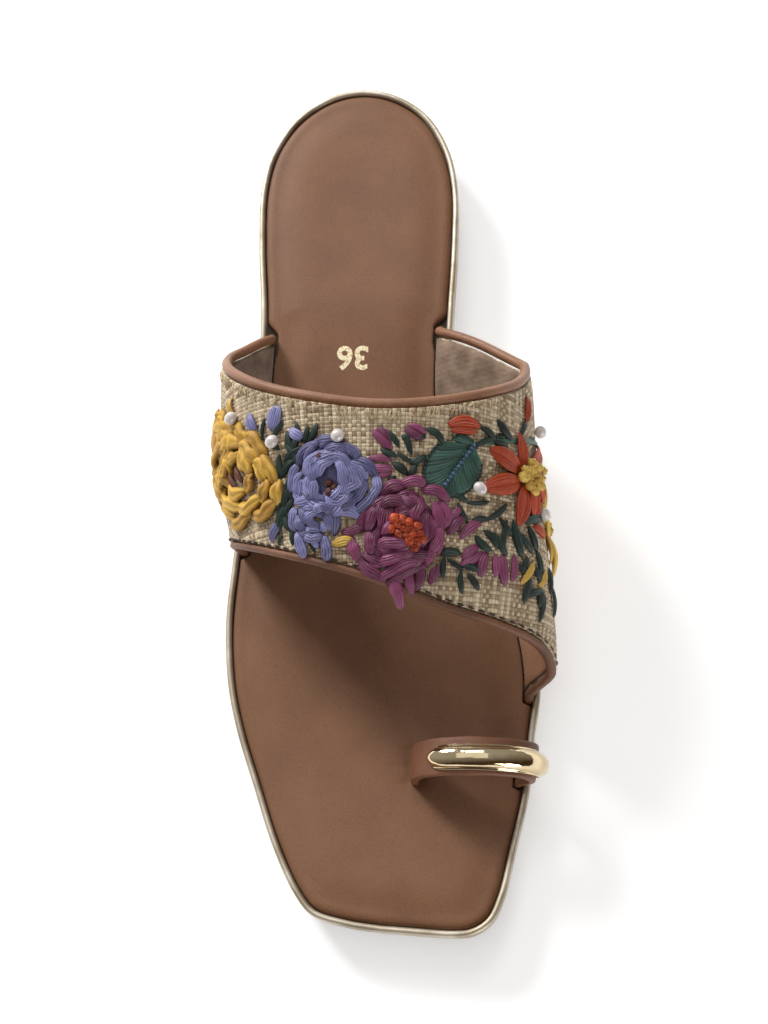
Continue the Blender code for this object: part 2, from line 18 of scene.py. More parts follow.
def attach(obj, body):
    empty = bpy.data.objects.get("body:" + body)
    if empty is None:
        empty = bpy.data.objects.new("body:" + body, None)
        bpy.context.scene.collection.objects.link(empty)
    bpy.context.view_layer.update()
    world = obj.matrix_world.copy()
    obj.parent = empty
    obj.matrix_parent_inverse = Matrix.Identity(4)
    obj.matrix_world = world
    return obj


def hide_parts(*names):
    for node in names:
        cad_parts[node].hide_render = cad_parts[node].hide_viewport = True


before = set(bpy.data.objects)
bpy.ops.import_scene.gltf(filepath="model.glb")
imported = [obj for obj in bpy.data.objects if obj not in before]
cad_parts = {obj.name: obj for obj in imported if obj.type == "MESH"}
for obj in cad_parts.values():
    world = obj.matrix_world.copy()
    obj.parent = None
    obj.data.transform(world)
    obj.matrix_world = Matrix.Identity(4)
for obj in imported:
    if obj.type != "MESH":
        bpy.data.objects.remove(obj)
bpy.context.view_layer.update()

# Camera
# It stands where the photographer's stood, in front of the toe and high above it, and
# looks 72 degrees down. It is only turned aside and zoomed to frame the one shoe.

mm = 0.001
SOLE_LENGTH = 246 * mm
SHIFT_X = 11.04 * mm
PHOTO_FOCAL_PX = 1530
PHOTO_MIDDLE_PX = (384, 512)
SHOE_MIDDLE_PX = 236
PHOTO_HEIGHT_PX = 1024
EYE = np.array((46.64, -161.02, 482.8)) * mm
LOOK_DOWN = math.radians(72)
ZOOM = 1.17

turn_aside = math.atan((PHOTO_MIDDLE_PX[0] - SHOE_MIDDLE_PX) / PHOTO_FOCAL_PX)
camera = bpy.data.objects.new("camera", bpy.data.cameras.new("camera"))
camera.data.sensor_width = 36
camera.data.lens = 36 * PHOTO_FOCAL_PX / PHOTO_HEIGHT_PX * ZOOM
camera.data.clip_start = 0.01
camera.matrix_world = (
    Matrix.Translation(EYE)
    @ Matrix.Rotation(math.pi / 2 - LOOK_DOWN, 4, "X")
    @ Matrix.Rotation(turn_aside, 4, "Y")
)
bpy.context.collection.objects.link(camera)
bpy.context.scene.camera = camera


def photo_pixels(points):
    """Where points fall in the photograph: offset from the eye over depth, times focal length."""
    away = points - EYE
    depth = away[..., 1] * math.cos(LOOK_DOWN) - away[..., 2] * math.sin(LOOK_DOWN)
    up = away[..., 1] * math.sin(LOOK_DOWN) + away[..., 2] * math.cos(LOOK_DOWN)
    u = PHOTO_MIDDLE_PX[0] + PHOTO_FOCAL_PX * away[..., 0] / depth
    v = PHOTO_MIDDLE_PX[1] - PHOTO_FOCAL_PX * up / depth
    return np.stack([u, v], axis=-1)


# Heel lift
# The thin rubber piece that the heel stands on, cut from a moulded brown sheet and
# glued under the block. Its outline is the sole's own, drawn in by the heel's taper.

HEEL_WIDTH = 58.2 * mm
WAIST_WIDTH = 55.4 * mm
BALL_WIDTH = 87.2 * mm
HEEL_HEIGHT = 8 * mm
TOE_SPRING = 4 * mm
HEEL_LIFT_THICK = 2.5 * mm
HEEL_TAPER = 1.2 * mm
HEEL_BREAST = 0.255
OUTSOLE_INSET = 0.5 * mm
GAP = 0.3 * mm
RIBS = 420


def table(columns, *rows):
    """A table's columns as arrays, keyed by their names."""
    return dict(zip(columns.split(), (np.array(column) for column in zip(*rows))))


# Ribs across the sole, as in the CAD source: x is a share of the width at that rib
SOLE_RIBS = table(
    "width        lateral_s  lateral_x  medial_s  medial_x",
    (HEEL_WIDTH, 0.000, 0.000, 0.000, 0.000),
    (HEEL_WIDTH, 0.009, -0.172, 0.009, 0.172),
    (HEEL_WIDTH, 0.037, -0.335, 0.037, 0.335),
    (HEEL_WIDTH, 0.082, -0.452, 0.082, 0.445),
    (HEEL_WIDTH, 0.134, -0.498, 0.134, 0.495),
    (HEEL_WIDTH, 0.211, -0.493, 0.211, 0.500),
    (HEEL_WIDTH, 0.297, -0.466, 0.297, 0.486),
    (WAIST_WIDTH, 0.391, -0.500, 0.391, 0.500),
    (WAIST_WIDTH, 0.476, -0.531, 0.476, 0.543),
    (BALL_WIDTH, 0.537, -0.3615, 0.537, 0.427),
    (BALL_WIDTH, 0.598, -0.377, 0.598, 0.512),
    (BALL_WIDTH, 0.663, -0.385, 0.663, 0.585),
    (BALL_WIDTH, 0.728, -0.368, 0.728, 0.610),
    (BALL_WIDTH, 0.780, -0.332, 0.780, 0.594),
    (BALL_WIDTH, 0.844, -0.267, 0.844, 0.577),
    (BALL_WIDTH, 0.907, -0.199, 0.907, 0.539),
    (BALL_WIDTH, 0.957, -0.126, 0.957, 0.506),
    (BALL_WIDTH, 0.980, -0.069, 0.984, 0.470),
    (BALL_WIDTH, 0.991, 0.034, 0.9972, 0.413),
    (BALL_WIDTH, 0.996, 0.138, 1.000, 0.333),
    (BALL_WIDTH, 1.000, 0.235, 1.000, 0.235),
)


def mix(a, b, t):
    """a at t = 0, b at t = 1, and in proportion between them."""
    return a + (b - a) * t


def smooth(start, end, t):
    """0 before start, 1 after end, and 3t^2 - 2t^3 between them."""
    t = np.clip((t - start) / (end - start), 0, 1)
    return t * t * (3 - 2 * t)


def smooth_ring(points, steps):
    """A closed centripetal Catmull-Rom curve: three rounds of mixing over square-root chords."""
    p0, p1, p2, p3 = (np.roll(points, k, axis=0)[:, None] for k in (1, 0, -1, -2))
    k1 = np.linalg.norm(p1 - p0, axis=-1, keepdims=True) ** 0.5
    k2 = k1 + np.linalg.norm(p2 - p1, axis=-1, keepdims=True) ** 0.5
    k3 = k2 + np.linalg.norm(p3 - p2, axis=-1, keepdims=True) ** 0.5
    k = mix(k1, k2, np.arange(steps)[:, None] / steps)
    a1, a2, a3 = mix(p0, p1, k / k1), mix(p1, p2, (k - k1) / (k2 - k1)), mix(p2, p3, (k - k2) / (k3 - k2))
    b1, b2 = mix(a1, a2, k / k2), mix(a2, a3, (k - k1) / (k3 - k1))
    return mix(b1, b2, (k - k1) / (k2 - k1)).reshape(-1, points.shape[1])


def evenly(line, count):
    """The same line as count + 1 points at even distances, by its running length."""
    run = np.concatenate([[0], np.cumsum(np.linalg.norm(np.diff(line, axis=0), axis=1))])
    want = np.linspace(0, run[-1], count + 1)
    return np.stack([np.interp(want, run, line[:, k]) for k in range(line.shape[1])], axis=1)


def sole_sides():
    """Each side of the sole from heel tip to toe tip: even points and inward normals."""
    medial = np.stack([SOLE_RIBS["medial_x"] * SOLE_RIBS["width"], SOLE_RIBS["medial_s"] * SOLE_LENGTH], 1)
    lateral = np.stack([SOLE_RIBS["lateral_x"] * SOLE_RIBS["width"], SOLE_RIBS["lateral_s"] * SOLE_LENGTH], 1)
    steps = 12
    ring = smooth_ring(np.concatenate([medial, lateral[-2:0:-1]]), steps)
    toe = (len(medial) - 1) * steps
    halves = evenly(ring[: toe + 1], RIBS), evenly(np.concatenate([ring[toe:], ring[:1]]), RIBS)
    closed = np.concatenate([halves[0][:-1], halves[1][:-1]])
    along = np.roll(closed, -1, axis=0) - np.roll(closed, 1, axis=0)
    inward = np.stack([-along[:, 1], along[:, 0]], 1) / np.linalg.norm(along, axis=1)[:, None]
    back = np.r_[0, np.arange(2 * RIBS - 1, RIBS - 1, -1)]
    return {
        "medial": (closed[: RIBS + 1], inward[: RIBS + 1]),
        "lateral": (closed[back], inward[back]),
    }


SIDES = sole_sides()
SIDE_NAMES = ("lateral", "medial")


def edge(side, inset):
    """One side of the sole moved inwards: each point goes inset along its inward normal."""
    points, inward = SIDES[side]
    return points + inward * np.broadcast_to(inset, len(points))[:, None]


def sole_line(s):
    """Height of the outsole's underside: up on the heel, flat at the ball, toe spring."""
    return HEEL_HEIGHT * (1 - smooth(0.275, 0.56, s)) + TOE_SPRING * smooth(0.78, 1.05, s)


def to_world(points):
    """From (x, d, z) to the frame whose -Y points to the toe: Y = half the length - d."""
    x, d, z = np.moveaxis(np.asarray(points, float), -1, 0)
    return np.stack([x - SHIFT_X, SOLE_LENGTH / 2 - d, z], axis=-1)


def faces_between(index, closed=False):
    """Four-cornered faces between neighbours in a grid of point numbers.

    A closed grid joins its last column to the first. Where the grid names one point many
    times, as at a pole, the faces there lose corners when they are made.
    """
    if closed:
        index = np.concatenate([index, index[..., :1]], axis=-1)
    corners = index[..., :-1, :-1], index[..., :-1, 1:], index[..., 1:, 1:], index[..., 1:, :-1]
    return np.stack(corners, axis=-1).reshape(-1, 4)


def add_piece(name, points, faces, material, uv=None, tone=None, flat=False):
    """Puts a mesh made of arrays into the scene, riding on the sandal's one body.

    A face whose neighbouring corners are one point loses that corner, and points that no
    face uses are left out. If the faces enclose a negative volume they are turned round.
    uv holds a pair for each point, and tone one number that the material may read.
    """
    points = np.asarray(points, float).reshape(-1, 3)
    a, b, c, d = (points[faces[:, k]] for k in range(4))
    if np.sum(np.cross(b - a, c - a) * a) + np.sum(np.cross(c - a, d - a) * a) < 0:
        faces = faces[:, ::-1]
    repeat = faces == np.roll(faces, -1, axis=1)
    sides = 4 - repeat.sum(axis=1)
    faces, repeat, sides = faces[sides > 2], repeat[sides > 2], sides[sides > 2]
    used, corners = np.unique(faces[~repeat], return_inverse=True)
    mesh = bpy.data.meshes.new(name)
    mesh.vertices.add(len(used))
    mesh.vertices.foreach_set("co", points[used].astype(np.float32).ravel())
    mesh.loops.add(len(corners))
    mesh.loops.foreach_set("vertex_index", corners.astype(np.int32))
    mesh.polygons.add(len(sides))
    mesh.polygons.foreach_set("loop_start", np.concatenate([[0], np.cumsum(sides)[:-1]]).astype(np.int32))
    mesh.update(calc_edges=True)
    if uv is not None:
        layer = mesh.uv_layers.new(name="threads")
        layer.data.foreach_set("uv", uv.reshape(-1, 2)[used][corners].astype(np.float32).ravel())
    if tone is not None:
        shade = mesh.attributes.new("tone", "FLOAT", "POINT")
        shade.data.foreach_set("value", np.ravel(tone)[used].astype(np.float32))
    mesh.polygons.foreach_set("use_smooth", np.full(len(sides), not flat))
    mesh.materials.append(material)
    piece = bpy.data.objects.new(name, mesh)
    bpy.context.collection.objects.link(piece)
    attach(piece, "root")
    return piece


def sole_slab(profile, top, across, last_s=1.0, base_across=4):
    """Points and faces of a closed slab in the shape of the sole, as far as last_s.

    Each rib is a closed loop: up the lateral profile, over the top in this many steps,
    down the medial profile and back under. At the tips the loop is folded flat, so its
    sides are the same points. profile holds (inset, height of s) from the bottom up, or
    gives them for a side, and top is the height at (x, d).
    """
    walls = []
    for side in SIDE_NAMES:
        s = SIDES[side][0][:, 1] / SOLE_LENGTH
        lines = []
        for inset, height in profile(side) if callable(profile) else profile:
            line = edge(side, inset(s, side) if callable(inset) else inset)
            lines.append(np.column_stack([line, height(line[:, 1] / SOLE_LENGTH)]))
        walls.append(np.stack(lines, axis=1)[s <= last_s])
    count = min(len(wall) for wall in walls)
    left, right = (wall[:count] for wall in walls)
    over = mix(left[:, -1:], right[:, -1:], np.linspace(0, 1, across + 1)[1:-1, None])
    over[..., 2] = top(over[..., 0], over[..., 1])
    under = mix(left[:, :1], right[:, :1], np.linspace(1, 0, base_across + 1)[1:-1, None])
    loops = np.concatenate([left, over, right[:, ::-1], under], axis=1)
    tall = left.shape[1]
    fold = np.r_[
        np.arange(tall), np.full(across - 1, tall - 1), np.arange(tall)[::-1], np.zeros(base_across - 1, int)
    ]
    index = np.arange(loops.shape[0] * loops.shape[1]).reshape(loops.shape[:2])
    index[0] = index[0][fold]
    if last_s == 1.0:
        index[-1] = index[-1][fold]
    else:
        middle = np.broadcast_to(loops[-1].mean(axis=0), loops[-1:].shape)
        loops = np.concatenate([loops, middle])
        index = np.concatenate([index, np.full_like(index[-1:], index[-1, -1] + 1)])
    return to_world(loops), faces_between(index, closed=True)


def srgb(code):
    """A linear colour from a hex code: ((c + 0.055) / 1.055) ^ 2.4, or c / 12.92 near black."""
    parts = [int(code[k : k + 2], 16) / 255 for k in (1, 3, 5)]
    return (*[c / 12.92 if c <= 0.04045 else ((c + 0.055) / 1.055) ** 2.4 for c in parts], 1.0)


def start_material(name, sockets):
    """A material whose shader holds these constants."""
    material = bpy.data.materials.new(name)
    material.use_nodes = True
    shader = material.node_tree.nodes["Principled BSDF"]
    for socket, value in sockets.items():
        shader.inputs[socket].default_value = value
    return material, shader


def add_node(material, kind, inputs, **settings):
    """Adds a node with its settings. An input is a value, or (node, output) to link to."""
    node = material.node_tree.nodes.new("ShaderNode" + kind)
    for setting, value in settings.items():
        setattr(node, setting, value)
    for socket, value in inputs.items():
        if isinstance(value, tuple) and isinstance(value[0], bpy.types.Node):
            material.node_tree.links.new(value[0].outputs[value[1]], node.inputs[socket])
        else:
            node.inputs[socket].default_value = value
    return node


# Inputs and output of the Mix node when it mixes colours, and when it mixes numbers
FACTOR, FIRST, SECOND, MIXED = 0, 6, 7, 2
FIRST_NUMBER, SECOND_NUMBER, MIXED_NUMBER = 2, 3, 0

# Each of these makes one node. What it works on, and what it gives, is (node, output).


def object_place(material):
    return add_node(material, "TexCoord", {}), "Object"


def thread_place(material):
    return add_node(material, "UVMap", {}, uv_map="threads"), "UV"


def stretched(material, place, scale):
    return add_node(material, "Mapping", {"Vector": place, "Scale": scale}), "Vector"


def noise(material, place, size, detail):
    """Noise whose features are about this size."""
    return add_node(material, "TexNoise", {"Vector": place, "Scale": 1 / size, "Detail": detail}), "Fac"


def reckoned(material, operation, *values, on="Math"):
    """One operation on numbers, or with on="VectorMath" on vectors."""
    node = add_node(material, on, dict(enumerate(values)), operation=operation)
    return node, "Vector" if on == "VectorMath" else "Value"


def ranged(material, value, low, high, first=0.0, last=1.0, **settings):
    """The value carried from low and high to first and last."""
    ends = {"From Min": low, "From Max": high, "To Min": first, "To Max": last}
    return add_node(material, "MapRange", {"Value": value, **ends}, **settings), "Result"


def between(material, share, first, second):
    """A colour between two hex codes."""
    ends = {FACTOR: share, FIRST: srgb(first), SECOND: srgb(second)}
    return add_node(material, "Mix", ends, data_type="RGBA"), MIXED


def number_between(material, share, first, second):
    """A number between two others."""
    ends = {FACTOR: share, FIRST_NUMBER: first, SECOND_NUMBER: second}
    return add_node(material, "Mix", ends), MIXED_NUMBER


def dimmed(material, color, value):
    """A colour times a value."""
    ends = {FACTOR: 1.0, FIRST: color, SECOND: value}
    return add_node(material, "Mix", ends, data_type="RGBA", blend_type="MULTIPLY"), MIXED


def bumps(material, height, depth, strength, under=None, **settings):
    """Bumps of this depth, added to those of the node under them if there is one."""
    inputs = {"Height": height, "Distance": depth, "Strength": strength}
    if under is not None:
        inputs["Normal"] = under
    return add_node(material, "Bump", inputs, **settings), "Normal"


def finish(material, shader, color, normal=None, gloss=None):
    """Links what is given to the shader, and hands the material back."""
    for socket, source in (("Base Color", color), ("Normal", normal), ("Roughness", gloss)):
        if source is not None:
            material.node_tree.links.new(source[0].outputs[source[1]], shader.inputs[socket])
    return material


def moulded_rubber(name, light, dark, pebble):
    """Moulded crepe rubber: matt, with a fine pebble left by the mould, and clouded in colour."""
    material, shader = start_material(name, {"Roughness": 0.72, "IOR": 1.52})
    place = object_place(material)
    pebbles = add_node(material, "TexVoronoi", {"Vector": place, "Scale": 1 / pebble})
    color = between(material, noise(material, place, 9 * mm, 6.0), dark, light)
    pits = bumps(material, (pebbles, "Distance"), 0.15 * mm, 0.6, invert=True)
    return finish(material, shader, color, pits)


def flat_at(height):
    """A height function that is the same everywhere."""
    return lambda s: np.full(np.shape(s), height)


SMALL_BEVEL = 0.4 * mm
lift_inset = OUTSOLE_INSET + HEEL_TAPER
points, faces = sole_slab(
    [
        (lift_inset + SMALL_BEVEL, flat_at(0.0)),
        (lift_inset + 0.3 * SMALL_BEVEL, flat_at(0.3 * SMALL_BEVEL)),
        (lift_inset, flat_at(SMALL_BEVEL)),
        (lift_inset, flat_at(HEEL_LIFT_THICK - 0.1 * mm)),
        (lift_inset + 0.1 * mm, flat_at(HEEL_LIFT_THICK)),
    ],
    lambda x, d: np.full(x.shape, HEEL_LIFT_THICK),
    12,
    HEEL_BREAST,
    12,
)
lift_rubber = moulded_rubber("moulded_heel_rubber", "#4A3B31", "#33271F", 1.1 * mm)
lift = add_piece("lift_of_heel", points, faces, lift_rubber)
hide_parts("heel_lift")

# Heel block
# A low block of leatherboard layers pressed together and cut to the sole's outline. Its
# edge is sanded, stained brown and waxed, so the layers still show as faint lines.


def leatherboard(name):
    """Pressed leather fibre in 1 mm layers: long flat streaks round the edge, under wax."""
    material, shader = start_material(name, {"Roughness": 0.5, "IOR": 1.5, "Coat Weight": 0.15})
    layers = stretched(material, object_place(material), (1.0, 1.0, 12.0))
    streaks = noise(material, layers, 12 * mm, 5.0)
    color = between(material, streaks, "#4A3022", "#8A6448")
    return finish(material, shader, color, bumps(material, streaks, 0.15 * mm, 0.5))


points, faces = sole_slab(
    [
        (lift_inset, flat_at(HEEL_LIFT_THICK + GAP)),
        (OUTSOLE_INSET + GAP, lambda s: sole_line(s) - GAP),
    ],
    lambda x, d: sole_line(d / SOLE_LENGTH) - GAP,
    4,
    HEEL_BREAST,
)
block = add_piece("block_of_heel", points, faces, leatherboard("waxed_leatherboard"))
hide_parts("heel_block")

# Outsole
# One sheet of brown rubber under the whole sandal, 2.5 mm thick, cut half a millimetre
# inside the foil tray that it is glued to. Its lower edge is buffed round.

OUTSOLE_THICK = 2.5 * mm
OUTSOLE_BEVEL = 0.6 * mm


def outsole_top(s):
    return sole_line(s) + OUTSOLE_THICK


points, faces = sole_slab(
    [
        (OUTSOLE_INSET + OUTSOLE_BEVEL, sole_line),
        (OUTSOLE_INSET + 0.3 * OUTSOLE_BEVEL, lambda s: sole_line(s) + 0.3 * OUTSOLE_BEVEL),
        (OUTSOLE_INSET, lambda s: sole_line(s) + OUTSOLE_BEVEL),
        (OUTSOLE_INSET, outsole_top),
    ],
    lambda x, d: outsole_top(d / SOLE_LENGTH),
    4,
    base_across=24,
)
sheet_rubber = moulded_rubber("buffed_sole_rubber", "#5A4738", "#3F3026", 1.5 * mm)
outsole = add_piece("sheet_outsole", points, faces, sheet_rubber)
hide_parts("outsole")

# Tray and rim
# A board tray wrapped in champagne-gold foiled leather. The foil is turned over a cord
# at the top, which makes a round rim that stands a little proud of the footbed.

MIDSOLE_FLOOR = 2.5 * mm
RIM_HEIGHT = 3.6 * mm
RIM_WIDTH = 1.7 * mm
RIM_WAVE = 0.06 * mm


def midsole_base(s):
    return outsole_top(s) + GAP


def rim_top(s):
    return midsole_base(s) + MIDSOLE_FLOOR + RIM_HEIGHT


def insole_base(s):
    return midsole_base(s) + MIDSOLE_FLOOR + GAP


def foiled_leather(name):
    """Metal foil pressed on split leather: satin, finely crinkled, worn darker in patches."""
    material, shader = start_material(name, {"Metallic": 0.7, "Roughness": 0.45})
    place = object_place(material)
    crinkle = noise(material, place, 0.9 * mm, 4.0)
    wear = ranged(material, noise(material, place, 11 * mm, 3.0), 0.35, 0.68)
    color = between(material, wear, "#A3957E", "#D2C8B7")
    gloss = ranged(material, crinkle, 0.0, 1.0, 0.38, 0.56)
    return finish(material, shader, color, bumps(material, crinkle, 0.06 * mm, 0.35), gloss)


def rim_profile():
    """The tray's wall: up the outside, half a circle over the cord, down to the floor."""

    def over_cord(turn):
        across, up = RIM_WIDTH / 2 * (1 - math.cos(turn)), RIM_WIDTH / 2 * (1 - math.sin(turn))
        return across, lambda s: rim_top(s) - up + RIM_WAVE * np.sin(s * 71) * np.sin(s * 23)

    return [
        (SMALL_BEVEL, midsole_base),
        (0.0, lambda s: midsole_base(s) + SMALL_BEVEL),
        (0.0, lambda s: mix(midsole_base(s), rim_top(s), 0.5)),
        *(over_cord(turn) for turn in np.linspace(0, math.pi, 11)),
        (RIM_WIDTH, lambda s: insole_base(s) - GAP),
    ]


points, faces = sole_slab(rim_profile(), lambda x, d: insole_base(d / SOLE_LENGTH) - GAP, 4)
tray = add_piece("foil_wrapped_tray", points, faces, foiled_leather("champagne_foiled_leather"))
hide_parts("midsole")

# Footbed
# A board and 4 mm of foam under one skin of tan-brown leather, with its edge rolled
# under. It is drawn in beside the strap and the toe loop, and the loop goes down
# through a slot. The skin puckers a little at the slot and at the little-toe corner.

INSOLE_THICK = 4 * mm
INSOLE_EDGE_ROUND = 2.6 * mm
INSOLE_SHOULDER = 1.6 * mm
MARGIN_THICK = 1.0 * mm
STRAP_WALL = 2.2 * mm
ROLL_RADIUS = 1.35 * mm
LOOP_S = 0.8195
LOOP_WIDTH = 10 * mm
LOOP_WALL = 2 * mm
LOOP_SLOT_X = 20.1 * mm
BESIDE_RIM = RIM_WIDTH + GAP
EDGE_DIP = 0.9 * mm
EDGE_DIP_WIDE = 5 * mm
PRESSED_FLATTER = 0.72

# The skin swells up to what passes beside it, closer than the CAD's plain notches. It
# keeps off by each spare, and swells back over each ease, all in s.
ROLL_SPARE = 0.0075
ROLL_EASE = 0.02
BINDING_SPARE = 0.0088
LOOP_SPARE = 0.003
STRAP_EASE = 0.003

# Hollows from wear under heel and ball: middle, half sizes across and along, and depth
HOLLOWS = table(
    "x        d         wide      long      depth",
    (0 * mm, 34 * mm, 15 * mm, 26 * mm, 0.5 * mm),
    (10 * mm, 165 * mm, 22 * mm, 24 * mm, 0.4 * mm),
)
SLOT_DIMPLE = 0.5 * mm
SLOT_PLAY = 0.35 * mm

# Where the strap's back and front edges meet the sole, as s
STRAP_FEET = {"lateral": (0.330, 0.571), "medial": (0.322, 0.740)}

# Puckers in the skin: middle, length along the given angle from +x, width and depth
PUCKERS = table(
    "x         d          angle  length     width      depth",
    (-0.6 * mm, 239.5 * mm, 62, 7 * mm, 0.9 * mm, 0.22 * mm),
    (-3.4 * mm, 236.5 * mm, 50, 6 * mm, 0.8 * mm, 0.20 * mm),
    (-5.6 * mm, 232.5 * mm, 38, 5 * mm, 0.8 * mm, 0.16 * mm),
    (2.6 * mm, 241.5 * mm, 74, 5 * mm, 0.8 * mm, 0.18 * mm),
    (16.4 * mm, 197.0 * mm, 20, 5 * mm, 1.1 * mm, 0.16 * mm),
    (16.0 * mm, 201.5 * mm, 2, 6 * mm, 1.1 * mm, 0.20 * mm),
    (16.6 * mm, 206.0 * mm, -18, 5 * mm, 1.1 * mm, 0.16 * mm),
    (26.0 * mm, 194.6 * mm, 70, 4 * mm, 1.0 * mm, 0.14 * mm),
    (26.5 * mm, 209.4 * mm, -64, 4 * mm, 1.0 * mm, 0.14 * mm),
)


def insole_top(s):
    return insole_base(s) + INSOLE_THICK


def pressed(s, side):
    """1 where the strap or the loop passes beside the footbed, and 0 elsewhere."""
    ends = [(*STRAP_FEET[side], ROLL_SPARE, BINDING_SPARE, ROLL_EASE)]
    if side == "medial":
        half = LOOP_WIDTH / 2 / SOLE_LENGTH
        ends.append((LOOP_S - half, LOOP_S + half, LOOP_SPARE, LOOP_SPARE, STRAP_EASE))
    shares = [
        np.minimum(
            smooth(first - before - ease, first - before, s),
            1 - smooth(last + after, last + after + STRAP_EASE, s),
        )
        for first, last, before, after, ease in ends
    ]
    return np.max(shares, axis=0)


def insole_inset(s, side):
    """The rim's width, plus the strap's wall and the roll's where they pass beside it."""
    roll = max(2 * ROLL_RADIUS - STRAP_WALL + GAP, 0)
    beside_roll = 1 - smooth(ROLL_SPARE, ROLL_SPARE + ROLL_EASE, np.abs(s - STRAP_FEET[side][0]))
    return BESIDE_RIM + pressed(s, side) * (STRAP_WALL + GAP) + roll * beside_roll


FOOTBED_OUTLINE = np.concatenate(
    [edge(side, insole_inset(SIDES[side][0][:, 1] / SOLE_LENGTH, side))[::2] for side in SIDE_NAMES]
).astype(np.float32)


def footbed_height(x, d):
    """Height of the skin: the board's line, hollows under heel and ball, lower near the
    edge, a shallow dimple round the loop's slot, and the puckers."""
    x_off, d_off = x[..., None] - FOOTBED_OUTLINE[:, 0], d[..., None] - FOOTBED_OUTLINE[:, 1]
    inside = np.maximum(np.hypot(x_off, d_off).min(axis=-1) - INSOLE_EDGE_ROUND, 0)
    hollow = sum(
        depth * np.exp(-(((d - hd) / long) ** 2) - (((x - hx) / wide) ** 2))
        for hx, hd, wide, long, depth in zip(*HOLLOWS.values())
    )
    z = insole_top(d / SOLE_LENGTH) - hollow * smooth(0, 6 * mm, inside)
    z = z - EDGE_DIP * np.exp(-((inside / EDGE_DIP_WIDE) ** 2))
    across = np.abs(x - LOOP_SLOT_X) - LOOP_WALL
    along = np.abs(d - LOOP_S * SOLE_LENGTH) - LOOP_WIDTH / 2
    from_slot = np.hypot(np.maximum(across, 0), np.maximum(along, 0))
    z = z - SLOT_DIMPLE * np.exp(-from_slot / (1.5 * mm))
    for px, pd, angle, length, width, depth in zip(*PUCKERS.values()):
        turn = math.radians(angle)
        u = (x - px) * math.cos(turn) + (d - pd) * math.sin(turn)
        v = (d - pd) * math.cos(turn) - (x - px) * math.sin(turn)
        z = z - depth * np.exp(-((2 * u / length) ** 2) - (2 * v / width) ** 2) * smooth(0, 1.5 * mm, inside)
    return z


def footbed_profile(side):
    """The pad's edge: up from the board, then a quarter of an oval over the foam, which is
    tighter where the strap or the loop presses on it."""

    def plump(s):
        return 1 - PRESSED_FLATTER * pressed(s, side)

    def over_foam(turn):
        across = INSOLE_EDGE_ROUND * (1 - math.cos(turn)) ** 1.2
        down = INSOLE_SHOULDER * (1 - math.sin(turn))
        return (
            lambda s, side: insole_inset(s, side) + across * plump(s),
            lambda s: insole_top(s) - EDGE_DIP - down * plump(s),
        )

    return [
        (lambda s, side: insole_inset(s, side) + 0.5 * mm, insole_base),
        (insole_inset, lambda s: insole_base(s) + SMALL_BEVEL),
        *(over_foam(turn) for turn in np.linspace(0, math.pi / 2, 10)),
    ]


def grain_leather(name, light, dark, grain, depth, roughness):
    """Pigment-finished cow leather: small pebbled cells with creases between them, painted
    darker in the creases as painted shade, clouded colour from the hide, matt with a thin finish coat."""
    coat = {"Coat Weight": 0.06, "Coat Roughness": 0.5}
    material, shader = start_material(name, {"IOR": 1.45, "Specular IOR Level": 0.4, **coat})
    place = object_place(material)
    wander = noise(material, place, 2.5 * grain, 2.0)[0], "Color"
    bent = reckoned(material, "MULTIPLY_ADD", wander, (grain * 0.8,) * 3, place, on="VectorMath")
    at_grain = {"Vector": bent, "Scale": 1 / grain}
    cells = add_node(material, "TexVoronoi", at_grain, feature="DISTANCE_TO_EDGE")
    creases = ranged(material, (cells, "Distance"), 0.0, 0.12)
    pores = noise(material, place, 0.5 * mm, 3.0)
    hide = ranged(material, noise(material, place, 16 * mm, 5.0), 0.3, 0.7)
    # Painted shade: the colour falls to 0.82 in the creases between the grain's cells.
    crease_shade = ranged(material, creases, 0.0, 1.0, 0.82, 1.0)
    color = dimmed(material, between(material, hide, dark, light), crease_shade)
    gloss = ranged(material, pores, 0.0, 1.0, roughness - 0.08, roughness + 0.1)
    fine = bumps(material, pores, 0.04 * mm, 0.5)
    return finish(material, shader, color, bumps(material, creases, depth, 0.7, fine), gloss)


def cut_slot(piece):
    """Cuts the loop's slot through the footbed with a box, and keeps the result as its mesh."""
    half = LOOP_WALL / 2 + SLOT_PLAY, LOOP_WIDTH / 2 + SLOT_PLAY
    corners = np.array([(i, j, k) for i in (-1, 1) for j in (-1, 1) for k in (-1, 1)], float)
    middle = np.array([LOOP_SLOT_X, LOOP_S * SOLE_LENGTH, insole_top(LOOP_S)])
    box = to_world(middle + corners * (*half, 8 * mm))
    sides = [(0, 1, 3, 2), (4, 6, 7, 5), (0, 4, 5, 1), (2, 3, 7, 6), (0, 2, 6, 4), (1, 5, 7, 3)]
    mesh = bpy.data.meshes.new("slot_box")
    mesh.from_pydata(box.tolist(), [], sides)
    cutter = bpy.data.objects.new("slot_box", mesh)
    bpy.context.collection.objects.link(cutter)
    cut = piece.modifiers.new("slot", "BOOLEAN")
    cut.operation = "DIFFERENCE"
    cut.object = cutter
    bpy.context.view_layer.update()
    done = bpy.data.meshes.new_from_object(piece.evaluated_get(bpy.context.evaluated_depsgraph_get()))
    piece.modifiers.clear()
    piece.data = done
    bpy.data.objects.remove(cutter)


points, faces = sole_slab(footbed_profile, footbed_height, 120)
footbed_skin = grain_leather("tan_footbed_leather", "#81593D", "#755036", 0.8 * mm, 0.03 * mm, 0.58)
footbed = add_piece("padded_footbed", points, faces, footbed_skin)
cut_slot(footbed)
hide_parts("insole")

# Size number
# A plain 36 hot-stamped on the footbed in pale gold foil, upright for the wearer. The
# stamp presses it a hair into the skin.

NUMBER_HEIGHT = 6.7 * mm
NUMBER_S = 0.352
DIGIT_SHARE = 0.72  # of the font's size


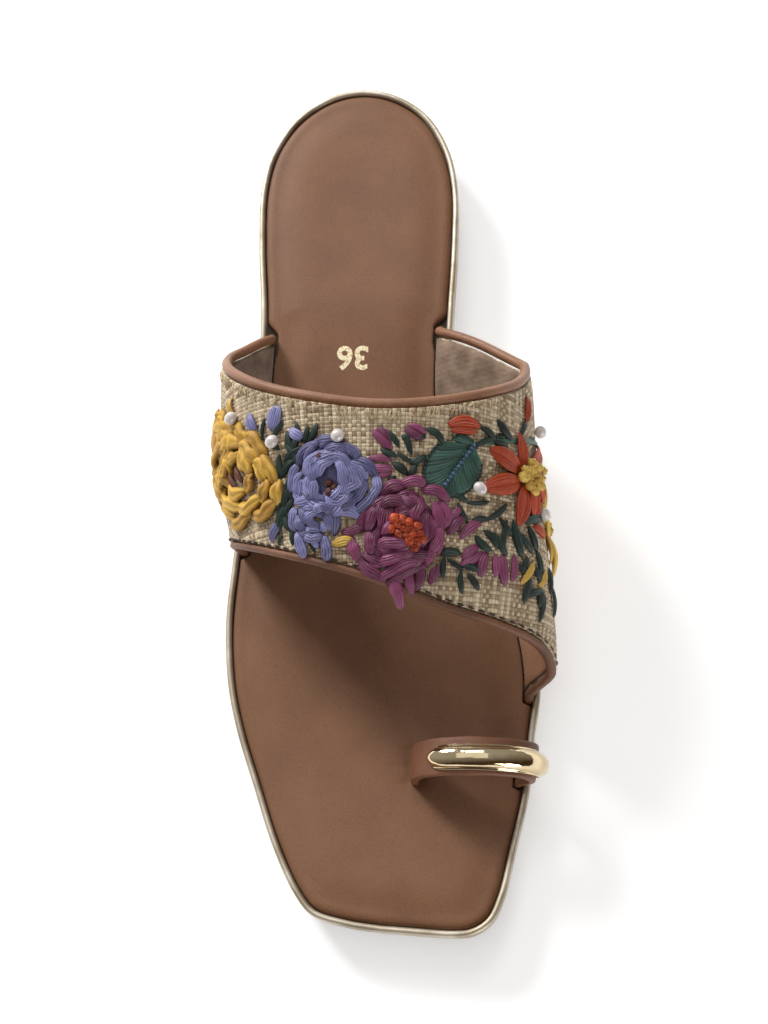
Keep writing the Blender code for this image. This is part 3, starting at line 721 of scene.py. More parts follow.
def stamped_foil(name):
    """Hot-stamped pigment foil on leather: pale gold, satin, broken a little by the grain."""
    material, shader = start_material(name, {"Metallic": 0.75, "Roughness": 0.34})
    specks = noise(material, object_place(material), 0.5 * mm, 4.0)
    color = between(material, ranged(material, specks, 0.36, 0.5), "#B89A6C", "#F4E6C2")
    return finish(material, shader, color, bumps(material, specks, 0.03 * mm, 0.5))


def stamp_number(text):
    """The number as a mesh laid on the footbed, its width centred on the foot's middle."""
    writing = bpy.data.objects.new("writing", bpy.data.curves.new("writing", "FONT"))
    writing.data.body = text
    writing.data.align_x = "CENTER"
    writing.data.size = NUMBER_HEIGHT / DIGIT_SHARE
    writing.data.offset = 0.25 * mm
    writing.data.extrude = 0.03 * mm
    writing.data.resolution_u = 8
    bpy.context.collection.objects.link(writing)
    bpy.context.view_layer.update()
    mesh = bpy.data.meshes.new_from_object(writing.evaluated_get(bpy.context.evaluated_depsgraph_get()))
    bpy.data.objects.remove(writing)
    letters = np.zeros(len(mesh.vertices) * 3)
    mesh.vertices.foreach_get("co", letters)
    letters = letters.reshape(-1, 3)
    x = -letters[:, 0]
    d = NUMBER_S * SOLE_LENGTH + letters[:, 1] - NUMBER_HEIGHT / 2
    points = to_world(np.stack([x, d, footbed_height(x, d) + letters[:, 2] + 0.02 * mm], 1))
    mesh.vertices.foreach_set("co", points.ravel())
    mesh.materials.clear()
    mesh.materials.append(stamped_foil("hot_stamped_gold_foil"))
    mesh.update()
    number = bpy.data.objects.new("size_number", mesh)
    bpy.context.collection.objects.link(number)
    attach(number, "root")


stamp_number("36")

# Strap
# One wall 2.2 mm thick, lasted over the foot and turned in under the footbed. Its face
# is natural raffia in plain weave, each thread about 1 mm wide and never quite even.

INSTEP_HEIGHT = 53 * mm
ARCH_FULLNESS = 2.25
ABOVE_RIM = 0.8 * mm
THREAD = 1.0 * mm
WEAVE_RISE = 0.26 * mm
BORDER_SUNK = -0.3
CORNER_SUNK = -0.8
LINING_THICK = 0.7 * mm

# The woven face's extent: round the arch, and from s to s along the sole. Each leg is
# plain below the first share of the way round, and fully woven above the second.
WOVEN_GIRTH = 165 * mm
WOVEN_S = (0.318, 0.745)
PLAIN_LEG = (0.03, 0.055)

# Sections of the last, as in the CAD source: reaches and ridge are shares of
# BALL_WIDTH, and heights are shares of INSTEP_HEIGHT above the footbed
LAST_SECTIONS = table(
    "s     lateral_reach  lateral_height  medial_reach  medial_height  ridge_x  height",
    (0.30, -0.315, 0.33, 0.433, 0.35, 0.077, 1.10),
    (0.40, -0.348, 0.37, 0.547, 0.37, 0.088, 1.06),
    (0.49, -0.346, 0.35, 0.570, 0.37, 0.111, 1.00),
    (0.55, -0.335, 0.26, 0.588, 0.35, 0.117, 0.92),
    (0.60, -0.320, 0.16, 0.606, 0.31, 0.126, 0.83),
    (0.65, -0.312, 0.12, 0.622, 0.27, 0.134, 0.745),
    (0.70, -0.305, 0.10, 0.632, 0.21, 0.146, 0.63),
    (0.76, -0.300, 0.10, 0.625, 0.16, 0.157, 0.51),
)

# The strap's back and front edges, as s at each a
STRAP_EDGES = table(
    "a     back   front",
    (0.00, 0.330, 0.571),
    (0.05, 0.348, 0.575),
    (0.10, 0.373, 0.581),
    (0.15, 0.3965, 0.589),
    (0.20, 0.419, 0.599),
    (0.25, 0.441, 0.609),
    (0.30, 0.461, 0.619),
    (0.40, 0.485, 0.637),
    (0.50, 0.4925, 0.6545),
    (0.60, 0.4815, 0.6745),
    (0.70, 0.451, 0.687),
    (0.80, 0.404, 0.700),
    (0.90, 0.355, 0.722),
    (1.00, 0.322, 0.740),
)


def read(rows, key, column, at):
    """The column at these keys, on a cubic through each two rows whose slope at a row
    blends the slopes on its two sides."""
    keys, values = rows[key], rows[column]
    steps = np.diff(keys)
    rates = np.diff(values) / steps
    inner = (rates[:-1] * steps[1:] + rates[1:] * steps[:-1]) / (steps[:-1] + steps[1:])
    slopes = np.concatenate([rates[:1], inner, rates[-1:]])
    at = np.clip(at, keys[0], keys[-1])
    i = np.clip(np.searchsorted(keys, at, side="right") - 1, 0, len(steps) - 1)
    t = (at - keys[i]) / steps[i]
    return (
        (2 * t**3 - 3 * t**2 + 1) * values[i]
        + (t**3 - 2 * t**2 + t) * steps[i] * slopes[i]
        + (3 * t**2 - 2 * t**3) * values[i + 1]
        + (t**3 - t**2) * steps[i] * slopes[i + 1]
    )


def half_arch(foot, upright, reach, ridge, fullness):
    """Rows of (x, z) from a foot to the ridge: straight up to upright, an S-curve out to
    the widest point, then a quarter of a superellipse."""
    t = np.linspace(0, 1, 4, endpoint=False)
    straight = foot[0] + 0 * t, mix(foot[1], upright, t)
    t = np.linspace(0, 1, 24, endpoint=False)
    lean = mix(foot[0], reach[0], smooth(0, 1, t)), mix(upright, reach[1], t)
    turn = np.linspace(0, math.pi / 2, 90, endpoint=False)
    across = 1 - np.cos(turn) ** (2 / fullness)
    over = mix(reach[0], ridge[0], across), mix(reach[1], ridge[1], np.sin(turn) ** (2 / fullness))
    return np.stack([np.concatenate(part, axis=1) for part in zip(straight, lean, over)], axis=-1)


def arch_grid(s, lateral, ridge, medial, count):
    """Even points round an arch at each s: its rows rescaled by their running lengths."""
    line = np.concatenate([lateral, np.stack(ridge, axis=-1), medial[:, ::-1]], axis=1)
    run = np.cumsum(np.linalg.norm(np.diff(line, axis=1), axis=-1), axis=1)
    girth = run[:, -1:]
    share = np.concatenate([np.zeros_like(girth), run / girth], axis=1)
    apart = 2 * np.arange(len(s))[:, None]
    want = (np.linspace(0, 1, count) + apart).ravel()
    x, z = (np.interp(want, (share + apart).ravel(), line[..., k].ravel()) for k in (0, 1))
    x, z = x.reshape(len(s), count), z.reshape(len(s), count)
    away = np.stack([-np.gradient(z, axis=1), np.gradient(x, axis=1)], axis=-1)
    away /= np.linalg.norm(away, axis=-1, keepdims=True)
    inner = to_world(np.stack([x, np.broadcast_to(s[:, None] * SOLE_LENGTH, x.shape), z], axis=-1))
    across = np.stack([away[..., 0], np.zeros_like(x), away[..., 1]], axis=-1)
    return {"s": s, "inner": inner, "away": across, "girth": girth[:, 0]}


def foot_of_arch(s, side, wall):
    """x of an arch's inner face where it stands beside the rim."""
    line = edge(side, BESIDE_RIM + wall)
    return np.interp(s * SOLE_LENGTH, line[:, 1], line[:, 0])[:, None]


def last_under_strap():
    """The strap's inner face over the last, from just behind it to just before it."""
    s = np.linspace(*LAST_SECTIONS["s"][[0, -1]], 231)
    row = {column: read(LAST_SECTIONS, "s", column, s)[:, None] for column in LAST_SECTIONS if column != "s"}
    top, rim = insole_top(s)[:, None], rim_top(s)[:, None] + ABOVE_RIM
    ridge = row["ridge_x"] * BALL_WIDTH, top + row["height"] * INSTEP_HEIGHT
    halves = []
    for side in SIDE_NAMES:
        foot = foot_of_arch(s, side, STRAP_WALL), insole_base(s)[:, None] + MARGIN_THICK
        reach = row[side + "_reach"] * BALL_WIDTH, top + row[side + "_height"] * INSTEP_HEIGHT
        halves.append(half_arch(foot, rim, reach, ridge, ARCH_FULLNESS))
    return arch_grid(s, halves[0], ridge, halves[1], 481)


def with_outside(arch, wall):
    """Adds the outer face, one wall further out, and the way that it faces: the cross
    product of its two directions."""
    outer = arch["inner"] + wall * arch["away"]
    facing = np.cross(np.gradient(outer, axis=1), np.gradient(outer, axis=0))
    facing /= np.linalg.norm(facing, axis=-1, keepdims=True)
    if np.sum(facing * arch["away"]) < 0:
        facing = -facing
    return {**arch, "outer": outer, "facing": facing}


def on_arch(arch, face, s, a):
    """Values of one of an arch's grids at (s, a), from its four nearest points."""
    grid = arch[face]
    rows, columns = grid.shape[:2]
    i = np.clip((s - arch["s"][0]) / (arch["s"][1] - arch["s"][0]), 0, rows - 1.0001)
    j = np.clip(a * (columns - 1), 0, columns - 1.0001)
    low_i, low_j = i.astype(int), j.astype(int)
    ti, tj = (i - low_i)[..., None], (j - low_j)[..., None]
    near = mix(grid[low_i, low_j], grid[low_i, low_j + 1], tj)
    far = mix(grid[low_i + 1, low_j], grid[low_i + 1, low_j + 1], tj)
    return mix(near, far, ti)


LAST = with_outside(last_under_strap(), STRAP_WALL)


def strap_edge(edge_name, a):
    return read(STRAP_EDGES, "a", edge_name, a)


def thread_lines(rng, length, samples):
    """Places across threads of uneven width, with this many samples to each thread."""
    widths = rng.uniform(0.78, 1.22, int(length / THREAD))
    borders = np.concatenate([[0], np.cumsum(widths)]) * length / widths.sum()
    threads = np.arange(len(widths) * samples + 1) / samples
    return threads, np.interp(threads, np.arange(len(borders)), borders)


def weave_height(rng, across, along):
    """Plain weave: each crossing is a small pillow, sunk at its borders and most at its
    corners, and lifted or lowered a little with its threads."""
    sunk_across, sunk_along = across % 1 < 0.01, along % 1 < 0.01
    rise = np.where(sunk_along[:, None] | sunk_across[None, :], BORDER_SUNK, 1.0)
    rise = np.where(sunk_along[:, None] & sunk_across[None, :], CORNER_SUNK, rise)
    rows, columns = int(along[-1]) + 1, int(across[-1]) + 1
    crossings = rng.uniform(-0.22, 0.22, (rows, columns))
    loose = rng.uniform(-0.15, 0.15, rows)[:, None] + rng.uniform(-0.15, 0.15, columns)
    return WEAVE_RISE * (rise + (crossings + loose)[np.ix_(along.astype(int), across.astype(int))])


def woven_face():
    """The strap's woven face and the plain back behind it, as one closed wall.

    The face's grid lines are the threads' borders. Lines past the strap's slanting edges
    are drawn back to the edge, so the faces beyond it vanish. The back has few rows from
    edge to edge, and each foot is closed by a fan.
    """
    rng = np.random.default_rng(11)
    samples, back_rows = 3, 8
    across, place = thread_lines(rng, WOVEN_GIRTH, samples)
    a = place / place[-1]
    along, place = thread_lines(rng, (WOVEN_S[1] - WOVEN_S[0]) * SOLE_LENGTH, samples)
    lines = WOVEN_S[0] + place / SOLE_LENGTH
    rows, columns = len(lines), len(a)
    back, front = strap_edge("back", a), strap_edge("front", a)
    first, last = np.searchsorted(lines, back) - 1, np.searchsorted(lines, front)
    s = np.clip(lines[:, None], back, front)
    spread = np.broadcast_to(a, s.shape)
    height = weave_height(rng, across, along) * (s == lines[:, None])
    height = height * smooth(*PLAIN_LEG, np.minimum(spread, 1 - spread))
    face = on_arch(LAST, "outer", s, spread) + height[..., None] * on_arch(LAST, "away", s, spread)
    index = np.clip(np.arange(rows)[:, None], first, last) * columns + np.arange(columns)

    behind_s = mix(back, front, np.linspace(0, 1, back_rows)[:, None])
    behind_a = np.broadcast_to(a, behind_s.shape)
    behind = on_arch(LAST, "inner", behind_s, behind_a)
    behind = behind + LINING_THICK * on_arch(LAST, "away", behind_s, behind_a)
    behind_index = rows * columns + np.arange(back_rows * columns).reshape(back_rows, columns)
    borders = first * columns + np.arange(columns), last * columns + np.arange(columns)
    behind_index = np.concatenate([borders[0][None], behind_index, borders[1][None]])

    faces = [faces_between(index), faces_between(behind_index)[:, ::-1]]
    points = [face.reshape(-1, 3), behind.reshape(-1, 3)]
    total = rows * columns + back_rows * columns
    for pole, column in ((total, 0), (total + 1, columns - 1)):
        foot = np.concatenate([np.unique(index[:, column]), behind_index[::-1, column]])
        points.append(behind[:, column].mean(axis=0, keepdims=True))
        around = np.roll(foot, -1)
        fan = np.stack([foot, around, np.full(len(foot), pole), np.full(len(foot), pole)], axis=1)
        faces.append(fan if column == 0 else fan[:, ::-1])
    uv = [
        np.stack([np.broadcast_to(across, at.shape), np.interp(at, lines, along)], axis=-1).reshape(-1, 2)
        for at in (s, behind_s)
    ]
    return np.concatenate(points), np.concatenate(faces), np.concatenate([*uv, np.zeros((2, 2))])


def woven_raffia(name):
    """Split palm fibre: matt to silky, straw coloured, every strand its own tone, with fine
    fibres along it. Each crossing is painted darker towards its borders: painted shade in the
    gaps where strands cross."""
    material, shader = start_material(name, {"IOR": 1.5, "Sheen Weight": 0.15, "Sheen Roughness": 0.5})
    threads = thread_place(material)
    checks = add_node(material, "TexChecker", {"Vector": threads, "Scale": 1.0})
    split = add_node(material, "SeparateXYZ", {0: reckoned(material, "FLOOR", threads, on="VectorMath")})
    weft_number = reckoned(material, "ADD", (split, "Y"), 0.37)
    numbers, scales = ((split, "X"), weft_number), ((7.0, 0.7, 1.0), (0.7, 7.0, 1.0))
    shades = [
        (add_node(material, "TexWhiteNoise", {"W": number}, noise_dimensions="1D"), "Value")
        for number in numbers
    ]
    fibres = [noise(material, stretched(material, threads, scale), 1.0, 3.0) for scale in scales]
    own, fibre = (number_between(material, (checks, "Fac"), *ends) for ends in (shades, fibres))
    tone = ranged(material, reckoned(material, "MULTIPLY_ADD", own, 0.9, fibre), 0.48, 1.42)
    straw = between(material, tone, "#8A7050", "#ECD9B8")
    in_crossing = reckoned(material, "FRACTION", threads, on="VectorMath")
    off_middle = reckoned(material, "SUBTRACT", in_crossing, (0.5, 0.5, 0.0), on="VectorMath")
    both = add_node(material, "SeparateXYZ", {0: reckoned(material, "ABSOLUTE", off_middle, on="VectorMath")})
    border = reckoned(material, "MAXIMUM", (both, "X"), (both, "Y"))
    # Painted shade: the colour falls to 0.7 towards the borders of each crossing.
    painted_gap_shade = ranged(material, border, 0.32, 0.5, 1.0, 0.7, interpolation_type="SMOOTHSTEP")
    patch = ranged(material, noise(material, threads, 4.0, 3.0), 0.0, 1.0, 0.72, 1.12)
    color = dimmed(material, straw, reckoned(material, "MULTIPLY", patch, painted_gap_shade))
    gloss = ranged(material, fibre, 0.0, 1.0, 0.78, 0.5)
    return finish(material, shader, color, bumps(material, fibre, 0.12 * mm, 0.6), gloss)


points, faces, uv = woven_face()
strap = add_piece("raffia_strap", points, faces, woven_raffia("plain_woven_raffia"), uv=uv)
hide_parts("upper")

# Strap lining
# A mottled grey-brown cloth glued behind the raffia, with a leather facing inside the
# front of the big-toe leg. Its margins are turned in with the strap's.


def capped(loops):
    """Closed loops of points joined one to the next, each end closed by a fan to its middle."""
    ends = loops[..., :1, :, :], loops[..., -1:, :, :]
    caps = [np.broadcast_to(end.mean(axis=-2, keepdims=True), end.shape) for end in ends]
    points = np.concatenate([caps[0], loops, caps[1]], axis=-3)
    index = np.arange(points[..., 0].size).reshape(points.shape[:-1])
    index[..., 0, :], index[..., -1, :] = index[..., 0, :1], index[..., -1, :1]
    return points, faces_between(index, closed=True)


def woven_lining(name):
    """Cotton-backed lining cloth: grey-beige and brown in patches, with a fine plain weave."""
    material, shader = start_material(name, {"Roughness": 0.85, "Sheen Weight": 0.2, "Sheen Roughness": 0.5})
    place = object_place(material)
    patch = ranged(material, noise(material, place, 5 * mm, 5.0), 0.3, 0.7)
    color = between(material, patch, "#5C4633", "#8C7561")
    pitch = {"Vector": place, "Scale": 1 / (5 * mm)}
    weft, warp = ((add_node(material, "TexWave", pitch, bands_direction=way), "Fac") for way in "YZ")
    weave = reckoned(material, "MULTIPLY", weft, warp)
    return finish(material, shader, color, bumps(material, weave, 0.1 * mm, 0.6))


def lining_loops(rows=48, columns=220):
    """Across the strap at each a: over the inner face from back to front, and back again
    just inside the raffia's wall."""
    a = np.linspace(0, 1, columns)[:, None]
    share = np.linspace(0.004, 0.996, rows)
    s = mix(strap_edge("back", a), strap_edge("front", a), share)
    spread = np.broadcast_to(a, s.shape)
    inner = on_arch(LAST, "inner", s, spread)
    outer = inner + (LINING_THICK - 0.05 * mm) * on_arch(LAST, "away", s, spread)
    return np.concatenate([inner, outer[:, ::-1]], axis=1)


points, faces = capped(lining_loops())
add_piece("strap_lining", points, faces, woven_lining("mottled_lining_cloth"))

# Back roll
# A strip of tan leather rolled round the strap's back edge, 2.7 mm thick. It wrinkles
# where it is pulled round the bend over the instep, and goes down to the sole each side.

ROLL_COLUMNS = 900
# Going up each leg, the roll and the binding step from the wall's outside to its middle
LEG_STEP = (0.04, 0.10)


def along_edge(edge_name, toward, radius, columns):
    """A line just past one edge of the strap, with the ways beyond the edge and outwards.

    toward is +1 for the heel and -1 for the toe. Near the sole the line lies to the
    wall's outside, clear of the footbed, as in the CAD source.
    """
    a = np.linspace(0, 1, columns)
    s = strap_edge(edge_name, a)
    out = on_arch(LAST, "away", s, a)
    above = smooth(*LEG_STEP, np.minimum(a, 1 - a))
    line = on_arch(LAST, "inner", s, a) + mix(STRAP_WALL - radius, STRAP_WALL / 2, above)[:, None] * out
    beyond = np.cross(np.gradient(line, axis=0), out)
    beyond /= np.linalg.norm(beyond, axis=1, keepdims=True)
    beyond *= np.sign(beyond[:, 1:2]) * toward
    return {"a": a, "s": s, "line": line + (radius + GAP) * beyond, "beyond": beyond, "out": out}


def round_strip(path, half_wide, half_thick, sides, ripple):
    """Ovals across a path. ripple(a, turn) is a share of the radius added at each point."""
    turn = np.arange(sides) * 2 * math.pi / sides
    swell = 1 + ripple(path["a"][:, None], turn[None])
    across = (half_wide * np.cos(turn) * swell)[..., None] * path["beyond"][:, None]
    up = (half_thick * np.sin(turn) * swell)[..., None] * path["out"][:, None]
    loops = path["line"][:, None] + across + up
    loops[..., 2] = np.maximum(loops[..., 2], insole_base(path["s"])[:, None])
    return loops


def roll_ripple(a, turn):
    """Small wrinkles across the roll, strongest on the big-toe side of the bend, with a
    shallow seam along its underside."""
    bend = 0.25 + np.exp(-(((a - 0.70) / 0.09) ** 2)) + 0.5 * np.exp(-(((a - 0.22) / 0.07) ** 2))
    wrinkle = np.sin(a * 331 + 2.0 * np.sin(turn + 9 * a)) * np.sin(a * 173 + 1.7)
    wrinkle = wrinkle + 0.5 * np.sin(a * 811 + turn)
    seam = -0.10 * np.exp(-((np.mod(turn - 0.15 * np.sin(31 * a) - 3.6, 2 * math.pi) / 0.28) ** 2))
    return 0.018 * bend * wrinkle + seam


roll_path = along_edge("back", 1, ROLL_RADIUS, ROLL_COLUMNS)
points, faces = capped(round_strip(roll_path, ROLL_RADIUS, ROLL_RADIUS, 28, roll_ripple))
strip_leather = grain_leather("tan_strip_leather", "#9C7257", "#83593F", 0.7 * mm, 0.05 * mm, 0.42)
roll = add_piece("rolled_back_edge", points, faces, strip_leather)
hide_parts("back_roll")

# Front binding
# The strap's front edge is bound by a narrower strip of leather, coloured darker than the roll as painted
# shade.

BINDING_RADIUS = 0.9 * mm
BINDING_HALF_WIDE = 0.95 * mm
BINDING_HALF_THICK = 1.25 * mm


def binding_ripple(a, turn):
    """The strip's faint unevenness, and its fold a little flattened on the outer face."""
    return 0.015 * np.sin(a * 290 + 3 * np.sin(turn)) + 0.08 * np.abs(np.sin(2 * turn))


binding_path = along_edge("front", -1, BINDING_RADIUS, 600)
points, faces = capped(round_strip(binding_path, BINDING_HALF_WIDE, BINDING_HALF_THICK, 20, binding_ripple))
# The binding's leather is the roll's made darker: painted shade for an edge that faces forwards and down.
shaded_leather = grain_leather("shade_darkened_strip_leather", "#80573F", "#61412F", 0.7 * mm, 0.05 * mm, 0.5)
binding = add_piece("bound_front_edge", points, faces, shaded_leather)
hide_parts("front_binding")

# Leg facing
# A thin patch of the tan leather is glued over the lining inside the front of the
# strap's big-toe leg, where the toe rubs.

FACING_THICK = 0.3 * mm
FACING_A = (0.70, 0.965)
FACING_WIDE_S = 0.05
FACING_WIDENS_A = (0.68, 0.90)


def leg_facing(rows=24, columns=80):
    """Across the patch at each a: out over the lining in half a flat oval, and back inside
    the wall. It narrows to nothing up the leg."""
    a = np.linspace(*FACING_A, columns)[:, None]
    share = np.linspace(0, 1, rows)
    wide = FACING_WIDE_S * smooth(*FACING_WIDENS_A, a)
    s = strap_edge("front", a) - 0.4 * mm / SOLE_LENGTH - wide * (1 - share)
    spread = np.broadcast_to(a, s.shape)
    away = on_arch(LAST, "away", s, spread)
    lined = on_arch(LAST, "inner", s, spread)
    proud = FACING_THICK * (1 - np.abs(2 * share - 1) ** 8)
    face = lined - proud[:, None] * away
    return np.concatenate([face, (lined + 0.1 * mm * away)[:, ::-1]], axis=1)


points, faces = capped(leg_facing())
add_piece("leg_facing", points, faces, strip_leather)

# Toe loop
# A band of the footbed's leather, folded on itself to 2 mm and 10 mm wide. It comes up
# through the slot, goes over the big toe and down between footbed and rim.

LOOP_HEIGHT = 16 * mm
LOOP_REACH = 3.6 * mm
LOOP_SIDE_HEIGHT = 6 * mm
LOOP_FULLNESS = 2.1
LOOP_EDGE_ROUND = 0.7 * mm


def last_under_loop():
    """The toe loop's inner face: from the slot over the toe to the sole's edge."""
    s = LOOP_S + np.linspace(-0.62, 0.62, 41) * LOOP_WIDTH / SOLE_LENGTH
    base, top = insole_base(s)[:, None], insole_top(s)[:, None]
    outside = foot_of_arch(s, "medial", LOOP_WALL)
    slot = np.full_like(outside, LOOP_SLOT_X + LOOP_WALL / 2)
    ridge = (slot + outside) / 2 + LOOP_REACH / 2, top + LOOP_HEIGHT
    inside = half_arch((slot, base), top - mm, (slot, top + mm), ridge, LOOP_FULLNESS)
    reach = outside + LOOP_REACH, top + LOOP_SIDE_HEIGHT
    rim = rim_top(s)[:, None] + ABOVE_RIM
    return arch_grid(s, inside, ridge, half_arch((outside, base), rim, reach, ridge, LOOP_FULLNESS), 321)


LOOP = with_outside(last_under_loop(), LOOP_WALL)


def band_profile(half_wide, thick, rounding, crown):
    """(along the foot, out) round a band's section: a flat inside, round edges and a
    slightly crowned outside."""
    turn = np.linspace(0, math.pi / 2, 6)
    corner = np.stack([np.sin(turn), 1 - np.cos(turn)], axis=1) * rounding
    low = np.stack([half_wide - rounding + corner[:, 0], corner[:, 1]], axis=1)
    high = np.stack([low[::-1, 0], thick - low[::-1, 1]], axis=1)
    inner = np.stack([np.linspace(-1, 1, 14)[1:-1] * (half_wide - rounding), np.zeros(12)], axis=1)
    outer = np.stack([inner[::-1, 0], thick + crown * (1 - (inner[:, 0] / half_wide) ** 2)], axis=1)
    right = np.concatenate([low, high])
    return np.concatenate([inner, right, outer, right[::-1] * (-1, 1)])


def toe_band():
    """The band's section carried round the loop, a little narrower where it is pinched."""
    profile = band_profile(LOOP_WIDTH / 2, LOOP_WALL, LOOP_EDGE_ROUND, 0.12 * mm)
    a = np.linspace(0, 1, 200)[:, None]
    wave = 1 + 0.012 * np.sin(a * 17) + 0.01 * np.sin(a * 41 + 1)
    s = LOOP_S + profile[:, 0] * wave / SOLE_LENGTH
    spread = np.broadcast_to(a, s.shape)
    return on_arch(LOOP, "inner", s, spread) + profile[:, 1:] * on_arch(LOOP, "away", s, spread)


points, faces = capped(toe_band())
band_leather = grain_leather("tan_band_leather", "#84583F", "#6A4230", 0.6 * mm, 0.04 * mm, 0.42)
loop = add_piece("toe_loop_band", points, faces, band_leather)
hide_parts("toe_loop")

# Toe bar
# A half-round bar of cast metal, polished and plated pale gold, riveted from behind to
# the top of the loop. A thin flat lip runs round its foot.

BAR_WIDTH = 6.8 * mm
BAR_HEIGHT = 2.8 * mm
BAR_FORWARD = 0.5 * mm
BAR_START = 0.31
BAR_END = 0.86
BAR_LIP = 0.5 * mm
BAR_LIP_THICK = 0.45 * mm


def bar_section():
    """Round the bar's section: the lip's edge and top, half an ellipse over the bar, the
    other lip, and the flat back."""
    half = BAR_WIDTH / 2
    turn = np.linspace(0, math.pi, 33)
    rise = BAR_LIP_THICK + np.sin(turn) * (BAR_HEIGHT - BAR_LIP_THICK)
    over = np.stack([np.cos(turn) * (half - BAR_LIP), rise], axis=1)
    low = half - 0.1 * mm
    lip = np.array([(low, 0), (half, 0.1 * mm), (half, 0.34 * mm), (half - 0.12 * mm, BAR_LIP_THICK)])
    back = np.stack([np.linspace(-1, 1, 8)[1:-1] * low, np.zeros(6)], axis=1)
    return np.concatenate([lip, over, lip[::-1] * (-1, 1), back])


def half_round_bar():
    """The section carried along the loop's top, closing to round ends by a root of 1 - t^9."""
    section = bar_section()
    t = np.linspace(-1, 1, 121)
    t = np.sign(t) * (1 - (1 - np.abs(t)) ** 1.6)
    swell = np.sqrt(np.maximum(1 - np.abs(t) ** 9, 0.0))[:, None]
    a = mix(BAR_START, BAR_END, (t + 1) / 2)[:, None] + np.zeros(len(section))
    s = np.full_like(a, LOOP_S)
    along = BAR_FORWARD + section[:, 0] * swell
    up = section[:, 1] * np.sqrt(swell)
    foot = on_arch(LOOP, "outer", s, a) + (GAP + 0.05 * mm + up)[..., None] * on_arch(LOOP, "away", s, a)
    foot[..., 1] -= along
    return foot


def plated_metal(name):
    """Polished brass under pale gold plate: a mirror that the casting left slightly wavy, with
    faint hairlines from wear."""
    material, shader = start_material(name, {"Metallic": 1.0, "Roughness": 0.1})
    place = object_place(material)
    lines = noise(material, stretched(material, place, (0.15, 1.0, 1.0)), 0.4 * mm, 3.0)
    color = between(material, noise(material, place, 5 * mm, 3.0), "#CDB588", "#EADCBC")
    gloss = ranged(material, lines, 0.0, 1.0, 0.05, 0.14)
    cast = bumps(material, noise(material, place, 3 * mm, 1.0), 0.3 * mm, 0.5)
    return finish(material, shader, color, bumps(material, lines, 0.01 * mm, 0.2, cast), gloss)


points, faces = capped(half_round_bar())
bar = add_piece("half_round_bar", points, faces, plated_metal("pale_gold_plate"))
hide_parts("toe_bar")

# Needlework
# The flowers are sewn by hand in stranded floss and soft ribbon. Where each stitch begins
# and ends was read from the photograph, in its pixels, and is carried onto the strap that
# shows there. Places on the strap are (p, q): p is the distance round the arch from its
# middle, and q the distance from the heel.

# A pixel's size on the strap, for bows and widths
PX = 0.31 * mm


def on_strap(a, s):
    """(p, q) at a share of the way round the strap, and at s along the sole."""
    a, s = np.asarray(a, float), np.asarray(s, float)
    return np.stack([(a - 0.5) * np.interp(s, LAST["s"], LAST["girth"]), s * SOLE_LENGTH], axis=-1)


def on_cloth(place, out):
    """Points at a height over the strap's face."""
    s = place[..., 1] / SOLE_LENGTH
    a = np.clip(0.5 + place[..., 0] / np.interp(s, LAST["s"], LAST["girth"]), 0, 1)
    return on_arch(LAST, "outer", s, a) + np.asarray(out)[..., None] * on_arch(LAST, "facing", s, a)


def chart(pixels):
    """(p, q) for pixels of the photograph: the nearest point of the face that turns to the
    camera, moved on by the slopes there. Points that the strap itself hides count too."""
    pixels = np.atleast_2d(np.asarray(pixels, float))
    seen = photo_pixels(LAST["outer"])
    hidden = np.where(np.sum(LAST["facing"] * (EYE - LAST["outer"]), axis=-1) > 0, 0, 1e6)
    apart = ((seen[..., 0] - pixel[0]) ** 2 + (seen[..., 1] - pixel[1]) ** 2 + hidden for pixel in pixels)
    i, j = np.unravel_index([grid.argmin() for grid in apart], hidden.shape)
    down, right = np.gradient(seen, axis=0)[i, j], np.gradient(seen, axis=1)[i, j]
    miss = pixels - seen[i, j]
    area = down[:, 0] * right[:, 1] - down[:, 1] * right[:, 0]
    more_i = np.clip((miss[:, 0] * right[:, 1] - miss[:, 1] * right[:, 0]) / area, -0.6, 0.6)
    more_j = np.clip((down[:, 0] * miss[:, 1] - down[:, 1] * miss[:, 0]) / area, -0.6, 0.6)
    s = LAST["s"][0] + (i + more_i) * (LAST["s"][1] - LAST["s"][0])
    return on_strap((j + more_j) / (hidden.shape[1] - 1), s)


